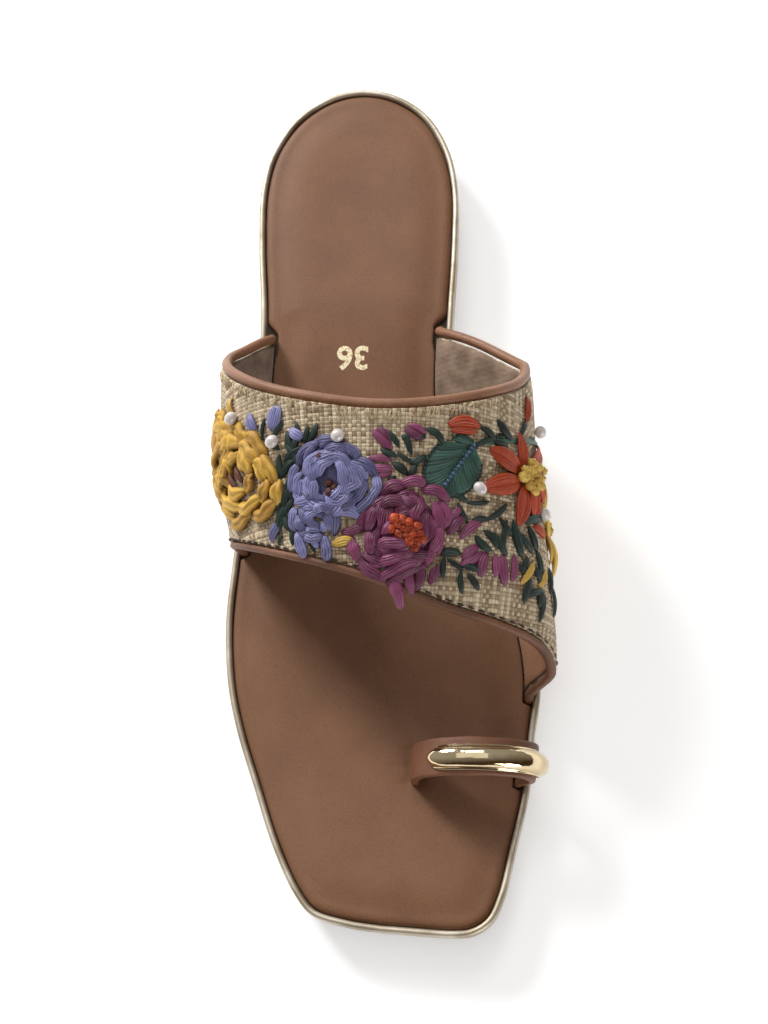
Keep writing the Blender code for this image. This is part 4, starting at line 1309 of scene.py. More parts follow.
def satin(
    start, end, bow, width, ground=None, rise=0.0, base=0.1 * mm, lift=0.3 * mm, plump=0.42,
    taper=0.45, threads=4, groove=0.3, crumple=0.0, steps=14, seed=1,
):
    """Satin stitches: bundles of threads that lie side by side.

    Along a bundle t runs from 0 to 1. Its middle line is straight plus a parabola of
    height bow to its right, and its half width goes with sin(pi t) to the power taper.
    Across it, at q from -1 to 1, it stands on the ground below at lift 4t(1 - t) plus
    plump sqrt(1 - q^2), less a groove between each two threads. rise lifts each row over
    the one before it. Every bundle is a closed loop at each t.
    """
    rng = np.random.default_rng(seed)
    count = len(start)
    bow, width = (np.broadcast_to(value, count)[:, None] for value in (bow, width))
    t = np.linspace(0, 1, steps)
    arch = 4 * t * (1 - t)
    run = end - start
    length = np.maximum(np.linalg.norm(run, axis=1), 0.1 * mm)[:, None]
    right = np.stack([-run[:, 1], run[:, 0]], axis=1) / length
    lump = rng.normal(0, 1, (count, 3))
    sway = crumple * width * np.sin(t * 7 + 2 * lump[:, 2:]) * arch
    aside = (bow * arch + 0.35 * sway)[..., None] * right[:, None]
    middle = mix(start[:, None], end[:, None], t[:, None]) + aside
    heading = np.gradient(middle, axis=1)
    across = np.stack([-heading[..., 1], heading[..., 0]], axis=-1)
    across /= np.maximum(np.linalg.norm(across, axis=-1, keepdims=True), 1e-9)
    q = np.concatenate([np.linspace(1, -1, threads * 4 + 1), (-0.5, 0.5)])
    under = np.arange(len(q)) > threads * 4
    twist = 0.5 * np.sin(math.pi * t[:, None] + lump[:, :1, None]) * (1 - q * q)
    furrow = groove * np.abs(np.cos(math.pi * (threads * (q + 1) / 2 + twist * 0.4))) ** 2
    dome = np.sqrt(np.maximum(1 - q * q, 0)) * (1 - furrow)
    swell = np.maximum(np.sin(math.pi * t), 0.02) ** taper
    half = width / 2 * swell * (1 + crumple * 0.4 * np.sin(t * 9 + lump[:, :1] * 5))
    wave = 1 + crumple * (np.sin(t * 6 + lump[:, :1] * 3) + 0.6 * np.sin(t * 13 + lump[:, 1:2] * 5))
    below = base + np.arange(count)[:, None] / count * rise + lift * arch * wave
    if ground is not None:
        below = below + ground(middle)
    up = below[..., None] + (width * plump * swell)[..., None] * dome
    up = np.where(under, below[..., None] - 0.15 * mm, up)
    place = middle[:, :, None] + (half[..., None] * q)[..., None] * across[:, :, None]
    tone = np.broadcast_to(rng.uniform(0, 1, count)[:, None, None], up.shape)
    along = np.broadcast_to((t * length)[..., None] / mm, up.shape)
    uv = np.stack([along, np.broadcast_to(q * threads / 2, up.shape)], axis=-1)
    return on_cloth(place, up), tone, uv + rng.uniform(0, 90, (count, 1, 1, 2)).astype(int)


def charted(rows, **shape):
    """Stitches from rows of x, y, x, y, bow and width in pixels of the photograph."""
    rows = np.array(rows, float)
    return satin(chart(rows[:, :2]), chart(rows[:, 2:4]), rows[:, 4] * PX, rows[:, 5] * PX, **shape)


def measured(rows, **shape):
    """Stitches from rows of a, s, a, s, bow and width, for what the photograph doesn't show."""
    rows = np.array(rows, float)
    ends = on_strap(rows[:, 0], rows[:, 1]), on_strap(rows[:, 2], rows[:, 3])
    return satin(*ends, rows[:, 4] * PX, rows[:, 5] * PX, **shape)


def balls(places, radius, ground=None, wound=0.1, sides=12, rounds=9, seed=3, base=0.0):
    """Beads, or French knots: balls whose radius goes 1 + a cosine that climbs as it turns."""
    rng = np.random.default_rng(seed)
    count = len(places)
    turn = np.arange(sides) * 2 * math.pi / sides
    rise = np.linspace(-1.45, 1.45, rounds)[:, None]
    size = radius * rng.uniform(1 - wound, 1 + wound, (count, 1, 1))
    ridge = 1 + wound * np.cos(turn * 2 + 7 * rise + rng.uniform(0, 6, (count, 1, 1)))
    flat = size * np.cos(rise) * ridge
    low = base + (ground(places) if ground is not None else np.zeros(count))
    up = low[:, None, None] + size * (1 + np.sin(rise)) * ridge
    place = places[:, None, None] + np.stack([flat * np.cos(turn), flat * np.sin(turn)], axis=-1)
    tone = np.broadcast_to(rng.uniform(0, 1, (count, 1, 1)), up.shape)
    uv = np.stack(np.broadcast_arrays(turn * 2, rise * 3 + np.zeros_like(up)), axis=-1)
    return on_cloth(place, up), tone, uv


def cushion(a, s, across, along, height):
    """The heap of thread under a rose: its ground, height sqrt(1 - r^2) over an oval, and its own
    mesh with small ripples, whose tone of 0 colours it darkest: painted shade under the stitches."""
    centre, radii = on_strap(a, s), np.array((across, along))

    def ground(place):
        off = np.sum(((place - centre) / radii) ** 2, axis=-1)
        return height * np.sqrt(np.maximum(1 - off, 0))

    turn = np.arange(48) * math.pi / 24
    r = np.sin(np.linspace(math.pi / 2, 0.05, 14))[:, None]
    spokes = np.stack([np.cos(turn) + 0 * r, np.sin(turn) + 0 * r])
    place = centre + (r * radii[:, None, None] * spokes).transpose(1, 2, 0)
    up = ground(place) + 0.12 * mm * np.sin(turn * 11 + 9 * r) * r - 0.2 * mm
    uv = np.stack(np.broadcast_arrays(turn * 4, r * 12), axis=-1)
    # Tone 0 gives the heap the darkest colour of its floss: painted shade.
    return ground, (on_cloth(place, up)[None], np.zeros((1, *up.shape)), uv[None])


def tangle(a, s, across, along, ground, count, length, width, seed, **shape):
    """Stitches at random over a heap, each lying round its middle and leaning in or out."""
    rng = np.random.default_rng(seed)
    centre, radii = on_strap(a, s), np.array((across, along))
    turn = np.linspace(0, 2 * math.pi * (count // 5), count, endpoint=False) + rng.uniform(-0.3, 0.3, count)
    r = np.sqrt(rng.uniform(0.08, 0.85, count))[:, None]
    spoke = np.stack([np.cos(turn), np.sin(turn)], axis=1)
    lean = rng.uniform(-0.7, 0.7, (count, 1))
    way = np.cos(lean) * np.stack([-spoke[:, 1], spoke[:, 0]], axis=1) + np.sin(lean) * spoke
    middle = centre + spoke * r * radii
    half = way * length * rng.uniform(0.35, 0.6, (count, 1))
    bow = -rng.uniform(0.4, 1.3, count) * mm
    widths = width * rng.uniform(0.8, 1.2, count)
    return satin(middle - half, middle + half, bow, widths, ground, seed=seed, **shape)


def sew(name, material, slot, *groups):
    """Adds groups of stitches or balls as one piece."""
    points, faces, tones, uvs, total = [], [], [], [], 0
    for loops, tone, uv in groups:
        made, quads = capped(loops)
        points.append(made.reshape(-1, 3))
        faces.append(quads + total)
        total += made.size // 3
        ends = np.r_[0, : tone.shape[1], tone.shape[1] - 1]
        tones.append(tone[:, ends].ravel())
        uvs.append(uv[:, ends].reshape(-1, 2))
    parts = (np.concatenate(part) for part in (points, faces, uvs, tones))
    points, faces, uv, tone = parts
    return add_piece(name, points, faces, material, uv, tone)


def cotton_floss(name, light, dark, roughness=0.5):
    """Stranded cotton floss: soft silky lustre, fine twisted fibres along each thread, and each
    bundle its own tone from the dye. Stripes across the threads are painted darker as painted
    shade in the grooves, and the heap under a rose, with tone 0, is darkest as painted shade."""
    sheen = {"Sheen Weight": 0.25, "Sheen Roughness": 0.45, "Sheen Tint": srgb(light)}
    material, shader = start_material(name, {"IOR": 1.5, **sheen})
    threads = thread_place(material)
    own = add_node(material, "Attribute", {}, attribute_name="tone"), "Fac"
    fibre = noise(material, stretched(material, threads, (0.5, 5.0, 1.0)), 1.0, 3.0)
    tone = ranged(material, reckoned(material, "MULTIPLY_ADD", own, 0.45, fibre), 0.3, 1.0)
    strand = add_node(material, "SeparateXYZ", {"Vector": threads})
    ridge = reckoned(material, "COSINE", reckoned(material, "MULTIPLY", (strand, "Y"), math.pi))
    # Painted shade: stripes across the threads, a cosine of the thread place, dim the colour to 0.62 for the
    # grooves between threads.
    groove_shade = ranged(material, reckoned(material, "MULTIPLY", ridge, ridge), 0.0, 1.0, 1.0, 0.62)
    color = dimmed(material, between(material, tone, dark, light), groove_shade)
    gloss = ranged(material, fibre, 0.0, 1.0, roughness + 0.15, roughness - 0.1)
    return finish(material, shader, color, bumps(material, fibre, 0.12 * mm, 0.5), gloss)


# Stitches of the front edge
# Dark running stitches hold the binding along the border of the raffia.

STITCH_PITCH = 2.7 * mm
STITCH_LENGTH = 1.8 * mm
STITCH_WIDTH = 0.62 * mm


def edge_stitches():
    """A stitch at every pitch along the front edge, on the raffia just behind the strip."""
    a = np.linspace(0.03, 0.97, 2000)
    line = on_strap(a, strap_edge("front", a) - 0.35 * mm / SOLE_LENGTH)
    run = np.concatenate([[0], np.cumsum(np.linalg.norm(np.diff(line, axis=0), axis=1))])
    begin = np.arange(0, run[-1] - STITCH_LENGTH, STITCH_PITCH)
    ends = (
        np.stack([np.interp(at, run, line[:, k]) for k in (0, 1)], 1) for at in (begin, begin + STITCH_LENGTH)
    )
    return satin(*ends, 0.0, STITCH_WIDTH, threads=1, steps=6, lift=0.1 * mm, base=0.3 * mm)


sewing_thread = cotton_floss("waxed_sewing_thread", "#4A3122", "#1F140D", 0.6)
sew("front_edge_stitches", sewing_thread, "stitch_thread", edge_stitches())

# Frayed ends
# The raffia's cut fibres stick out from under the roll, short and pale, at all angles.

FRAYED_A = (0.14, 0.66)


def frayed_ends(count=110):
    """Thin stitches from the roll towards the toe, leaning and bending at random."""
    rng = np.random.default_rng(21)
    a = np.sort(rng.uniform(*FRAYED_A, count))
    start = on_strap(a, strap_edge("back", a) + 0.3 * mm / SOLE_LENGTH)
    lean = rng.normal(0, 0.45, count)
    length = rng.uniform(0.8, 2.8, count) * mm
    end = start + np.stack([np.sin(lean), np.cos(lean)], axis=1) * length[:, None]
    bow = rng.normal(0, 0.15, count) * mm
    return satin(start, end, bow, 0.3 * mm, threads=1, steps=6, lift=0.3 * mm, base=0.3 * mm, seed=22)


raffia_fibre = cotton_floss("raffia_fibre", "#E8D6B0", "#A58258", 0.6)
sew("frayed_fibres", raffia_fibre, "raffia", frayed_ends())

# Leaves and stems
# Dark green cotton floss. A small leaf is one fat satin stitch of three threads, and a
# stem is a thin one, set at all angles round the flowers.

LEAVES_PX = (
    (97, 441, 94, 424, -1, 5),
    (113, 441, 133, 449, 1, 4),
    (127, 437, 123, 448, 1, 4),
    (133, 430, 131, 450, 1, 4),
    (149, 433, 138, 448, -1, 5),
    (134, 446, 146, 458, 1, 5),
    (112, 436, 118, 446, 0, 4),
    (152, 442, 158, 462, 1, 6),
    (160, 434, 166, 452, 1, 5),
    (170, 437, 168, 456, 0, 5),
    (178, 435, 170, 454, -1, 6),
    (187, 446, 170, 458, -1, 5),
    (150, 452, 160, 470, -2, 7),
    (166, 456, 150, 470, 2, 7),
    (160, 466, 148, 482, 2, 7),
    (146, 462, 150, 482, 2, 6),
    (158, 474, 150, 494, -2, 7),
    (146, 480, 148, 500, 1, 6),
    (154, 490, 150, 510, 1, 7),
    (147, 496, 144, 514, -1, 5),
    (152, 505, 144, 532, 2, 8),
    (156, 506, 153, 524, 0, 5),
    (148, 530, 145, 541, 0, 4),
    (143, 470, 146, 488, 1, 6),
    (163, 447, 156, 462, 1, 6),
    (158, 458, 166, 474, 1, 6),
    (152, 486, 157, 503, -1, 6),
    (158, 500, 151, 517, 1, 6),
    (149, 514, 157, 529, 1, 6),
    (101, 503, 110, 521, 2, 6),
    (157, 526, 158, 541, 1, 4),
    (172, 536, 177, 547, 0, 4),
    (236, 442, 249, 457, -2, 5),
    (233, 457, 248, 464, 1, 5),
    (247, 460, 262, 470, 1, 4),
    (256, 443, 260, 463, 1, 5),
    (251, 446, 257, 452, 0, 4),
    (271, 441, 287, 454, -3, 6),
    (262, 450, 272, 446, 0, 4),
    (258, 470, 272, 463, 1, 6),
    (243, 470, 256, 480, -1, 7),
    (256, 481, 264, 470, 1, 5),
    (239, 485, 247, 482, 0, 4),
    (296, 432, 320, 439, -2, 4),
    (318, 440, 331, 452, -2, 6),
    (314, 457, 332, 450, -2, 5),
    (329, 451, 342, 457, 1, 6),
    (333, 433, 345, 451, 2, 8),
    (352, 448, 357, 434, -1, 5),
    (294, 498, 308, 505, -2, 5),
    (306, 504, 326, 503, 1, 4),
    (299, 504, 308, 521, 1, 5),
    (311, 519, 326, 519, -1, 5),
    (323, 519, 341, 505, 1, 5),
    (314, 532, 328, 545, 2, 7),
    (321, 528, 334, 544, -2, 7),
    (330, 530, 341, 549, 1, 7),
    (341, 519, 338, 545, 2, 5),
    (335, 517, 346, 533, 1, 6),
    (350, 530, 362, 548, -1, 7),
    (362, 556, 371, 575, 1, 7),
    (348, 556, 361, 571, -1, 6),
    (361, 568, 355, 590, 1, 6),
    (376, 560, 377, 582, 1, 7),
    (346, 519, 353, 551, 1, 9),
    (354, 521, 370, 517, -1, 8),
    (359, 524, 366, 546, 1, 8),
    (366, 545, 370, 566, 1, 7),
    (358, 550, 354, 562, 0, 6),
    (284, 548, 302, 548, -2, 7),
    (288, 550, 287, 569, 1, 5),
    (290, 552, 304, 562, 0, 4),
    (302, 559, 320, 563, -2, 6),
    (302, 562, 303, 582, 1, 5),
    (307, 565, 317, 579, -1, 6),
    (372, 580, 355, 584, 1, 6),
    (370, 578, 368, 594, 1, 7),
    (373, 583, 368, 606, 1, 5),
    (378, 575, 380, 602, -1, 7),
)

# On the sides that the photograph doesn't show
SIDE_LEAVES = (
    (0.86, 0.470, 0.89, 0.445, 1, 8),
    (0.87, 0.490, 0.91, 0.480, -1, 7),
    (0.86, 0.515, 0.90, 0.530, 1, 7),
    (0.88, 0.590, 0.92, 0.610, -1, 8),
    (0.86, 0.610, 0.90, 0.640, 1, 8),
    (0.87, 0.640, 0.91, 0.672, -1, 7),
    (0.90, 0.560, 0.94, 0.545, 1, 7),
    (0.10, 0.440, 0.08, 0.415, 1, 7),
    (0.09, 0.470, 0.05, 0.455, -1, 7),
    (0.09, 0.510, 0.05, 0.520, 1, 7),
    (0.11, 0.545, 0.08, 0.565, -1, 7),
    (0.12, 0.430, 0.10, 0.405, 1, 5),
)

leaf_floss = cotton_floss("dark_green_floss", "#20392F", "#08130F", 0.5)
sew(
    "leaf_sprigs",
    leaf_floss,
    "green_thread",
    charted(LEAVES_PX, threads=3, plump=0.36, rise=0.3 * mm, seed=31),
    measured(SIDE_LEAVES, threads=3, plump=0.36, seed=32),
)

# Large leaf
# Two fans of green floss meet at a vein, where a row of tiny dark-blue beads is sewn.

LEAF_LEFT_PX = (
    (313, 453, 299, 447, 1, 6),
    (312, 454, 287, 451, -2, 8),
    (309, 457, 279, 458, -2, 8),
    (306, 461, 273, 467, -2, 8),
    (302, 466, 270, 477, -2, 8),
    (298, 472, 271, 486, -2, 8),
    (294, 478, 276, 492, -2, 8),
    (290, 484, 283, 495, -1, 7),
)
LEAF_RIGHT_PX = (
    (312, 455, 319, 471, 2, 8),
    (309, 459, 318, 481, 2, 8),
    (305, 465, 313, 489, 2, 8),
    (301, 471, 307, 494, 2, 8),
    (296, 477, 300, 498, 1, 8),
    (292, 483, 292, 499, 1, 7),
)
VEIN_PX = ((288, 488), (312, 455))


def denser(rows, count):
    """Rows at even steps along the given ones."""
    rows = np.array(rows, float)
    at = np.linspace(0, len(rows) - 1, count)
    return np.stack([np.interp(at, np.arange(len(rows)), column) for column in rows.T], axis=1)


fans = denser(LEAF_LEFT_PX, 19), denser(LEAF_RIGHT_PX, 13)
for fan in fans:
    fan[:, 5] *= 0.62
# Dark green stitches round the leaf's outer edge stand for the shade where its stitches turn down to the
# cloth: painted shade.
outline = np.concatenate([fans[0][:, 2:4], fans[1][::-1, 2:4], fans[0][:1, 2:4]])
border = np.column_stack([outline[:-1], outline[1:], np.full((len(outline) - 1, 2), (0.0, 3.2))])
broad_floss = cotton_floss("broad_leaf_floss", "#446C5F", "#0D2620", 0.45)
sew(
    "large_leaf",
    broad_floss,
    "green_thread",
    charted(np.concatenate(fans), threads=2, plump=0.3, taper=0.12, rise=0.3 * mm, seed=33),
)
sew("leaf_edge_shade_stitches", leaf_floss, "green_thread", charted(border, threads=2, taper=0.1, steps=6, seed=34))
vein_line = mix(np.array(VEIN_PX[0]), np.array(VEIN_PX[1]), np.linspace(0, 1, 12)[:, None])
vein_places = chart(vein_line)

# Seed beads are so small that the floss's shader, made glossier, does for their glass
vein_glass = cotton_floss("dark_blue_seed_glass", "#5C74A8", "#1B2646", 0.25)
vein = balls(vein_places, 0.42 * mm, wound=0.02, sides=8, rounds=6, base=0.75 * mm)
sew("vein_beads", vein_glass, "lavender_thread", vein)

# Yellow ribbon rose
# Crumpled loops of soft yellow ribbon in three rounds on the little-toe side, over a heap
# of the same ribbon, with a red-brown heart.

YELLOW_LOOPS_PX = (
    (93, 470, 95, 445, -2, 12),
    (94, 448, 112, 440, -3, 13),
    (108, 440, 118, 452, -2, 12),
    (116, 446, 134, 464, -3, 12),
    (126, 462, 143, 488, -3, 13),
    (144, 484, 143, 506, -2, 12),
    (143, 503, 124, 515, -3, 13),
    (122, 512, 106, 522, -3, 12),
    (108, 516, 97, 500, -2, 12),
    (98, 505, 93, 482, -2, 12),
    (97, 478, 100, 455, -3, 12),
    (100, 458, 116, 452, -3, 12),
    (112, 455, 128, 470, -3, 13),
    (124, 468, 134, 486, -3, 12),
    (134, 484, 130, 502, -3, 12),
    (130, 500, 112, 508, -3, 12),
    (114, 507, 100, 496, -3, 12),
    (101, 498, 97, 478, -3, 12),
    (104, 474, 112, 462, -2, 11),
    (112, 461, 121, 480, -3, 14),
    (122, 478, 118, 494, -2, 11),
    (117, 495, 104, 490, -2, 11),
    (104, 490, 103, 474, -2, 10),
)
YELLOW_HEART_PX = (
    (104, 476, 112, 492, 1, 6),
    (109, 474, 116, 487, -1, 5),
)

# The heap's middle, as (a, s)
YELLOW_MIDDLE = (0.190, 0.508)
ground, heap = cushion(*YELLOW_MIDDLE, 8.4 * mm, 10.8 * mm, 1.6 * mm)
ribbon = cotton_floss("soft_yellow_ribbon", "#DFB145", "#98661A", 0.55)
crumpled = {"threads": 2, "taper": 0.25, "groove": 0.3, "crumple": 0.34, "steps": 20, "lift": 0.5 * mm}
under = tangle(*YELLOW_MIDDLE, 7.8 * mm, 10.4 * mm, ground, 46, 6.5 * mm, 3.8 * mm, 61, plump=0.3, **crumpled)
loops = charted(YELLOW_LOOPS_PX, ground=ground, rise=0.6 * mm, plump=0.34, seed=41, **crumpled)
rose = sew("yellow_ribbon_rose", ribbon, "yellow_ribbon", heap, under, loops)
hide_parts("rose_yellow")
heart_floss = cotton_floss("red_brown_floss", "#6E3420", "#260F08", 0.6)
yellow_heart = charted(YELLOW_HEART_PX, ground=ground, base=1.0 * mm, threads=2, seed=42)

# Lavender rose
# Fat bundles of lavender floss wound round a red-brown heart, with a second small whorl
# and three hanging petals below it.

LAVENDER_LOOPS_PX = (
    (158, 497, 163, 470, -3, 9),
    (161, 474, 182, 452, -4, 9),
    (178, 453, 202, 452, -3, 9),
    (198, 455, 214, 468, -3, 9),
    (209, 468, 229, 482, -4, 10),
    (229, 480, 224, 500, -3, 9),
    (228, 492, 208, 514, -3, 9),
    (204, 512, 188, 506, -2, 8),
    (182, 508, 158, 494, -3, 9),
    (160, 508, 162, 528, 3, 9),
    (163, 526, 178, 532, 2, 9),
    (190, 509, 192, 532, -3, 9),
    (194, 511, 216, 517, -3, 10),
    (161, 529, 167, 552, -1, 9),
    (176, 530, 179, 543, 0, 7),
    (184, 532, 187, 554, -1, 9),
    (164, 499, 166, 478, -4, 8),
    (186, 459, 208, 460, -2, 8),
    (190, 462, 209, 475, -3, 8),
    (206, 470, 221, 484, -3, 8),
    (220, 484, 208, 502, -3, 8),
    (212, 498, 194, 508, -3, 8),
    (168, 484, 170, 501, 3, 7),
    (176, 467, 178, 486, 2, 8),
    (178, 483, 180, 503, 1, 8),
    (182, 481, 194, 467, -3, 8),
    (194, 467, 204, 483, -3, 7),
    (196, 462, 205, 499, -2, 7),
    (205, 495, 194, 505, -2, 7),
    (190, 497, 191, 507, 0, 6),
    (166, 512, 181, 508, -2, 8),
    (168, 524, 176, 511, -2, 7),
    (176, 512, 188, 518, -2, 7),
    (188, 516, 182, 528, -2, 7),
    (182, 527, 170, 524, -2, 7),
    (160, 505, 176, 503, -2, 8),
    (178, 505, 192, 514, -2, 8),
    (162, 514, 170, 528, 2, 8),
    (184, 513, 190, 528, -2, 8),
    (168, 531, 184, 533, 2, 8),
    (164, 508, 182, 525, 2, 7),
    (184, 510, 166, 522, 2, 7),
    (174, 509, 176, 526, 2, 7),
)

HEARTS_PX = ((190, 487), (194, 491), (191, 495), (182, 464), (186, 467))

# The heap's middle, as (a, s)
LAVENDER_MIDDLE = (0.413, 0.556)
ground, heap = cushion(*LAVENDER_MIDDLE, 7.0 * mm, 9.2 * mm, 1.7 * mm)
lavender_floss = cotton_floss("lavender_floss", "#9A9ACE", "#28234E", 0.5)
wound = {"lift": 0.5 * mm, "plump": 0.42, "taper": 0.3, "crumple": 0.2, "steps": 16}
under = tangle(*LAVENDER_MIDDLE, 6.6 * mm, 8.8 * mm, ground, 30, 6.5 * mm, 2.6 * mm, 62, **wound)
loops = charted(LAVENDER_LOOPS_PX, ground=ground, rise=0.8 * mm, seed=43, **wound)
pale_knot = balls(chart([(182, 508)]), 1.3 * mm, ground, wound=0.15, base=0.8 * mm)
rose = sew("lavender_ribbon_rose", lavender_floss, "lavender_ribbon", heap, under, loops, pale_knot)
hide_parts("rose_lavender")
lavender_heart = balls(chart(HEARTS_PX), 1.1 * mm, ground, wound=0.15, base=-0.9 * mm)
sew("rose_hearts", heart_floss, "orange_thread", yellow_heart, lavender_heart)

# Mauve rose
# Long bundles of mauve floss in loose rounds about a heap of orange French knots.

MAUVE_LOOPS_PX = (
    (199, 529, 222, 522, 2, 8),
    (211, 531, 243, 497, -4, 9),
    (209, 533, 216, 553, 3, 10),
    (214, 550, 241, 569, 4, 10),
    (233, 499, 256, 489, -3, 10),
    (250, 489, 273, 489, -3, 9),
    (268, 494, 292, 503, -4, 9),
    (284, 502, 287, 526, -3, 9),
    (288, 521, 303, 509, -1, 7),
    (290, 531, 305, 516, -1, 8),
    (246, 565, 251, 595, 1, 10),
    (256, 560, 259, 583, -1, 8),
    (268, 554, 262, 579, -2, 8),
    (282, 557, 274, 573, -1, 7),
    (276, 542, 270, 557, -2, 8),
    (222, 561, 259, 549, -3, 9),
    (218, 547, 246, 552, 3, 9),
    (230, 571, 271, 552, -3, 9),
    (238, 575, 274, 557, -2, 8),
    (224, 530, 232, 508, -3, 9),
    (232, 509, 257, 505, -4, 9),
    (250, 499, 265, 513, -2, 9),
    (270, 500, 263, 522, 3, 10),
    (272, 510, 270, 537, 1, 8),
    (277, 503, 282, 529, -3, 9),
    (282, 524, 275, 546, -3, 9),
    (226, 529, 229, 546, 3, 11),
    (231, 541, 257, 540, -3, 10),
    (236, 532, 244, 520, -1, 7),
)
MAUVE_KNOTS_PX = (
    (243, 526), (248, 522), (252, 518), (257, 521), (253, 526), (259, 526), (264, 524), (249, 530),
    (255, 532), (260, 531), (266, 530), (258, 536), (264, 537), (262, 542), (246, 517), (268, 535),
)

# The heap's middle, as (a, s)
MAUVE_MIDDLE = (0.523, 0.6095)
ground, heap = cushion(*MAUVE_MIDDLE, 8.8 * mm, 8.8 * mm, 1.8 * mm)
mauve_floss = cotton_floss("mauve_floss", "#9F4E77", "#42122C", 0.45)
wound |= {"threads": 5, "taper": 0.34}
under = tangle(*MAUVE_MIDDLE, 8.4 * mm, 8.4 * mm, ground, 40, 8 * mm, 2.4 * mm, 63, **wound)
loops = charted(MAUVE_LOOPS_PX, ground=ground, rise=0.9 * mm, seed=44, **wound)
rose = sew("mauve_ribbon_rose", mauve_floss, "mauve_ribbon", heap, under, loops)
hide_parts("rose_mauve")
orange_floss = cotton_floss("orange_red_floss", "#D2501E", "#802408", 0.5)
knots = balls(chart(MAUVE_KNOTS_PX), 1.15 * mm, ground, wound=0.14, base=0.3 * mm, seed=45)

# Orange lily
# Six long satin petals, each of two bundles that bow apart, round a heap of yellow knots.

LILY_PETALS_PX = (
    (353, 476, 351, 444, 0, 12),
    (352, 478, 326, 458, 0, 16),
    (352, 486, 320, 492, 0, 16),
    (355, 488, 350, 524, 0, 15),
    (361, 488, 363, 519, 0, 16),
    (360, 475, 366, 457, 0, 12),
)
LILY_KNOTS_PX = (
    (352, 477), (357, 471), (362, 475), (354, 483), (360, 481), (365, 484), (355, 490), (361, 489),
    (359, 495), (366, 478), (350, 483), (357, 477), (364, 491),
)
BUDS_PX = (
    (291, 438, 319, 440, -4, 9),
    (293, 442, 316, 444, -1, 7),
    (357, 437, 358, 414, -1, 9),
    (363, 524, 372, 534, 0, 9),
)


def paired(rows, **shape):
    """Each petal as two bundles between the same ends, bowed apart by a quarter of its width."""
    rows = np.array(rows, float)
    width = rows[:, 5:] / 2
    halves = (np.concatenate([rows[:, :4], sign * width / 2, width * 1.15], axis=1) for sign in (-1, 1))
    return charted(np.concatenate(list(halves)), **shape)


lily_middle = chart([(360, 481)])
behind = lily_middle + np.array([(8.5, -3.5), (8.5, 4.5)]) * mm
hidden_petals = satin(lily_middle + 0 * behind, behind, 0.0, 3.4 * mm, threads=5, lift=0.9 * mm, seed=47)
sew(
    "orange_lily",
    orange_floss,
    "orange_thread",
    knots,
    hidden_petals,
    paired(LILY_PETALS_PX, threads=4, lift=0.9 * mm, plump=0.3, taper=0.55, rise=0.4 * mm, seed=46),
    charted(BUDS_PX, threads=4, lift=0.5 * mm, plump=0.36, seed=48),
)
yellow_floss = cotton_floss("yellow_floss", "#F8D468", "#BC8A2C", 0.5)
lily_knots = balls(chart(LILY_KNOTS_PX), 1.2 * mm, wound=0.14, base=0.8 * mm, seed=49)

# Yellow side flower
# It lies on the big-toe side, mostly round the corner: long yellow satin petals.

SIDE_PETALS_PX = (
    (377, 515, 370, 480, -2, 10),
    (378, 540, 369, 502, -2, 9),
    (380, 558, 373, 530, -1, 10),
    (353, 574, 364, 555, -1, 6),
    (368, 577, 373, 562, -1, 6),
    (192, 541, 211, 537, -2, 8),
    (104, 413, 106, 428, 1, 6),
)
SIDE_PETALS = (
    (0.840, 0.565, 0.845, 0.515, -2, 11),
    (0.845, 0.565, 0.885, 0.525, -2, 11),
    (0.850, 0.570, 0.900, 0.562, 2, 11),
    (0.848, 0.575, 0.890, 0.605, 2, 11),
    (0.840, 0.578, 0.850, 0.625, 2, 11),
)
side_heart = on_strap([0.842, 0.850, 0.846, 0.838, 0.852], [0.566, 0.563, 0.575, 0.573, 0.571])
sew(
    "yellow_side_flower",
    yellow_floss,
    "yellow_thread",
    lily_knots,
    charted(SIDE_PETALS_PX, threads=4, lift=0.9 * mm, plump=0.34, taper=0.4, seed=50),
    measured(SIDE_PETALS, threads=4, lift=1.2 * mm, plump=0.34, taper=0.4, rise=0.5 * mm, seed=51),
    balls(side_heart, 1.1 * mm, wound=0.14, base=0.9 * mm, seed=52),
)

# Buds
# Small satin buds of mauve and lavender floss at the ends of the stems.

MAUVE_BUDS_PX = (
    (226, 441, 244, 458, 1, 7),
    (230, 440, 242, 453, -2, 6),
    (254, 439, 272, 448, 2, 7),
    (256, 438, 272, 445, -2, 5),
    (222, 466, 243, 468, -1, 6),
    (224, 473, 244, 474, 1, 7),
    (229, 480, 243, 478, 1, 5),
    (301, 535, 320, 520, -2, 8),
    (303, 554, 318, 541, -2, 7),
    (300, 558, 321, 546, 1, 7),
    (319, 568, 325, 547, -2, 9),
    (331, 567, 331, 548, 1, 8),
    (339, 575, 338, 548, -1, 9),
    (345, 572, 347, 548, 1, 7),
)
LAVENDER_BUDS_PX = (
    (139, 442, 142, 420, -2, 7),
    (140, 442, 145, 420, 2, 7),
    (119, 427, 126, 443, 1, 9),
    (155, 440, 167, 448, 1, 9),
    (148, 519, 139, 538, 2, 9),
)
SIDE_BUDS = (
    (0.895, 0.440, 0.920, 0.420, 1, 9),
    (0.925, 0.610, 0.950, 0.628, 1, 9),
    (0.075, 0.560, 0.055, 0.580, 1, 9),
)
bud = {"threads": 4, "lift": 0.4 * mm, "plump": 0.36}
buds = charted(MAUVE_BUDS_PX, seed=53, **bud)
sew("mauve_buds", mauve_floss, "mauve_thread", buds, measured(SIDE_BUDS, seed=54, **bud))
sew("lavender_buds", lavender_floss, "lavender_thread", charted(LAVENDER_BUDS_PX, seed=55, **bud))

# Pearls
# Round beads 3.2 mm across with a cream pearl lacquer, each sewn down between the leaves.

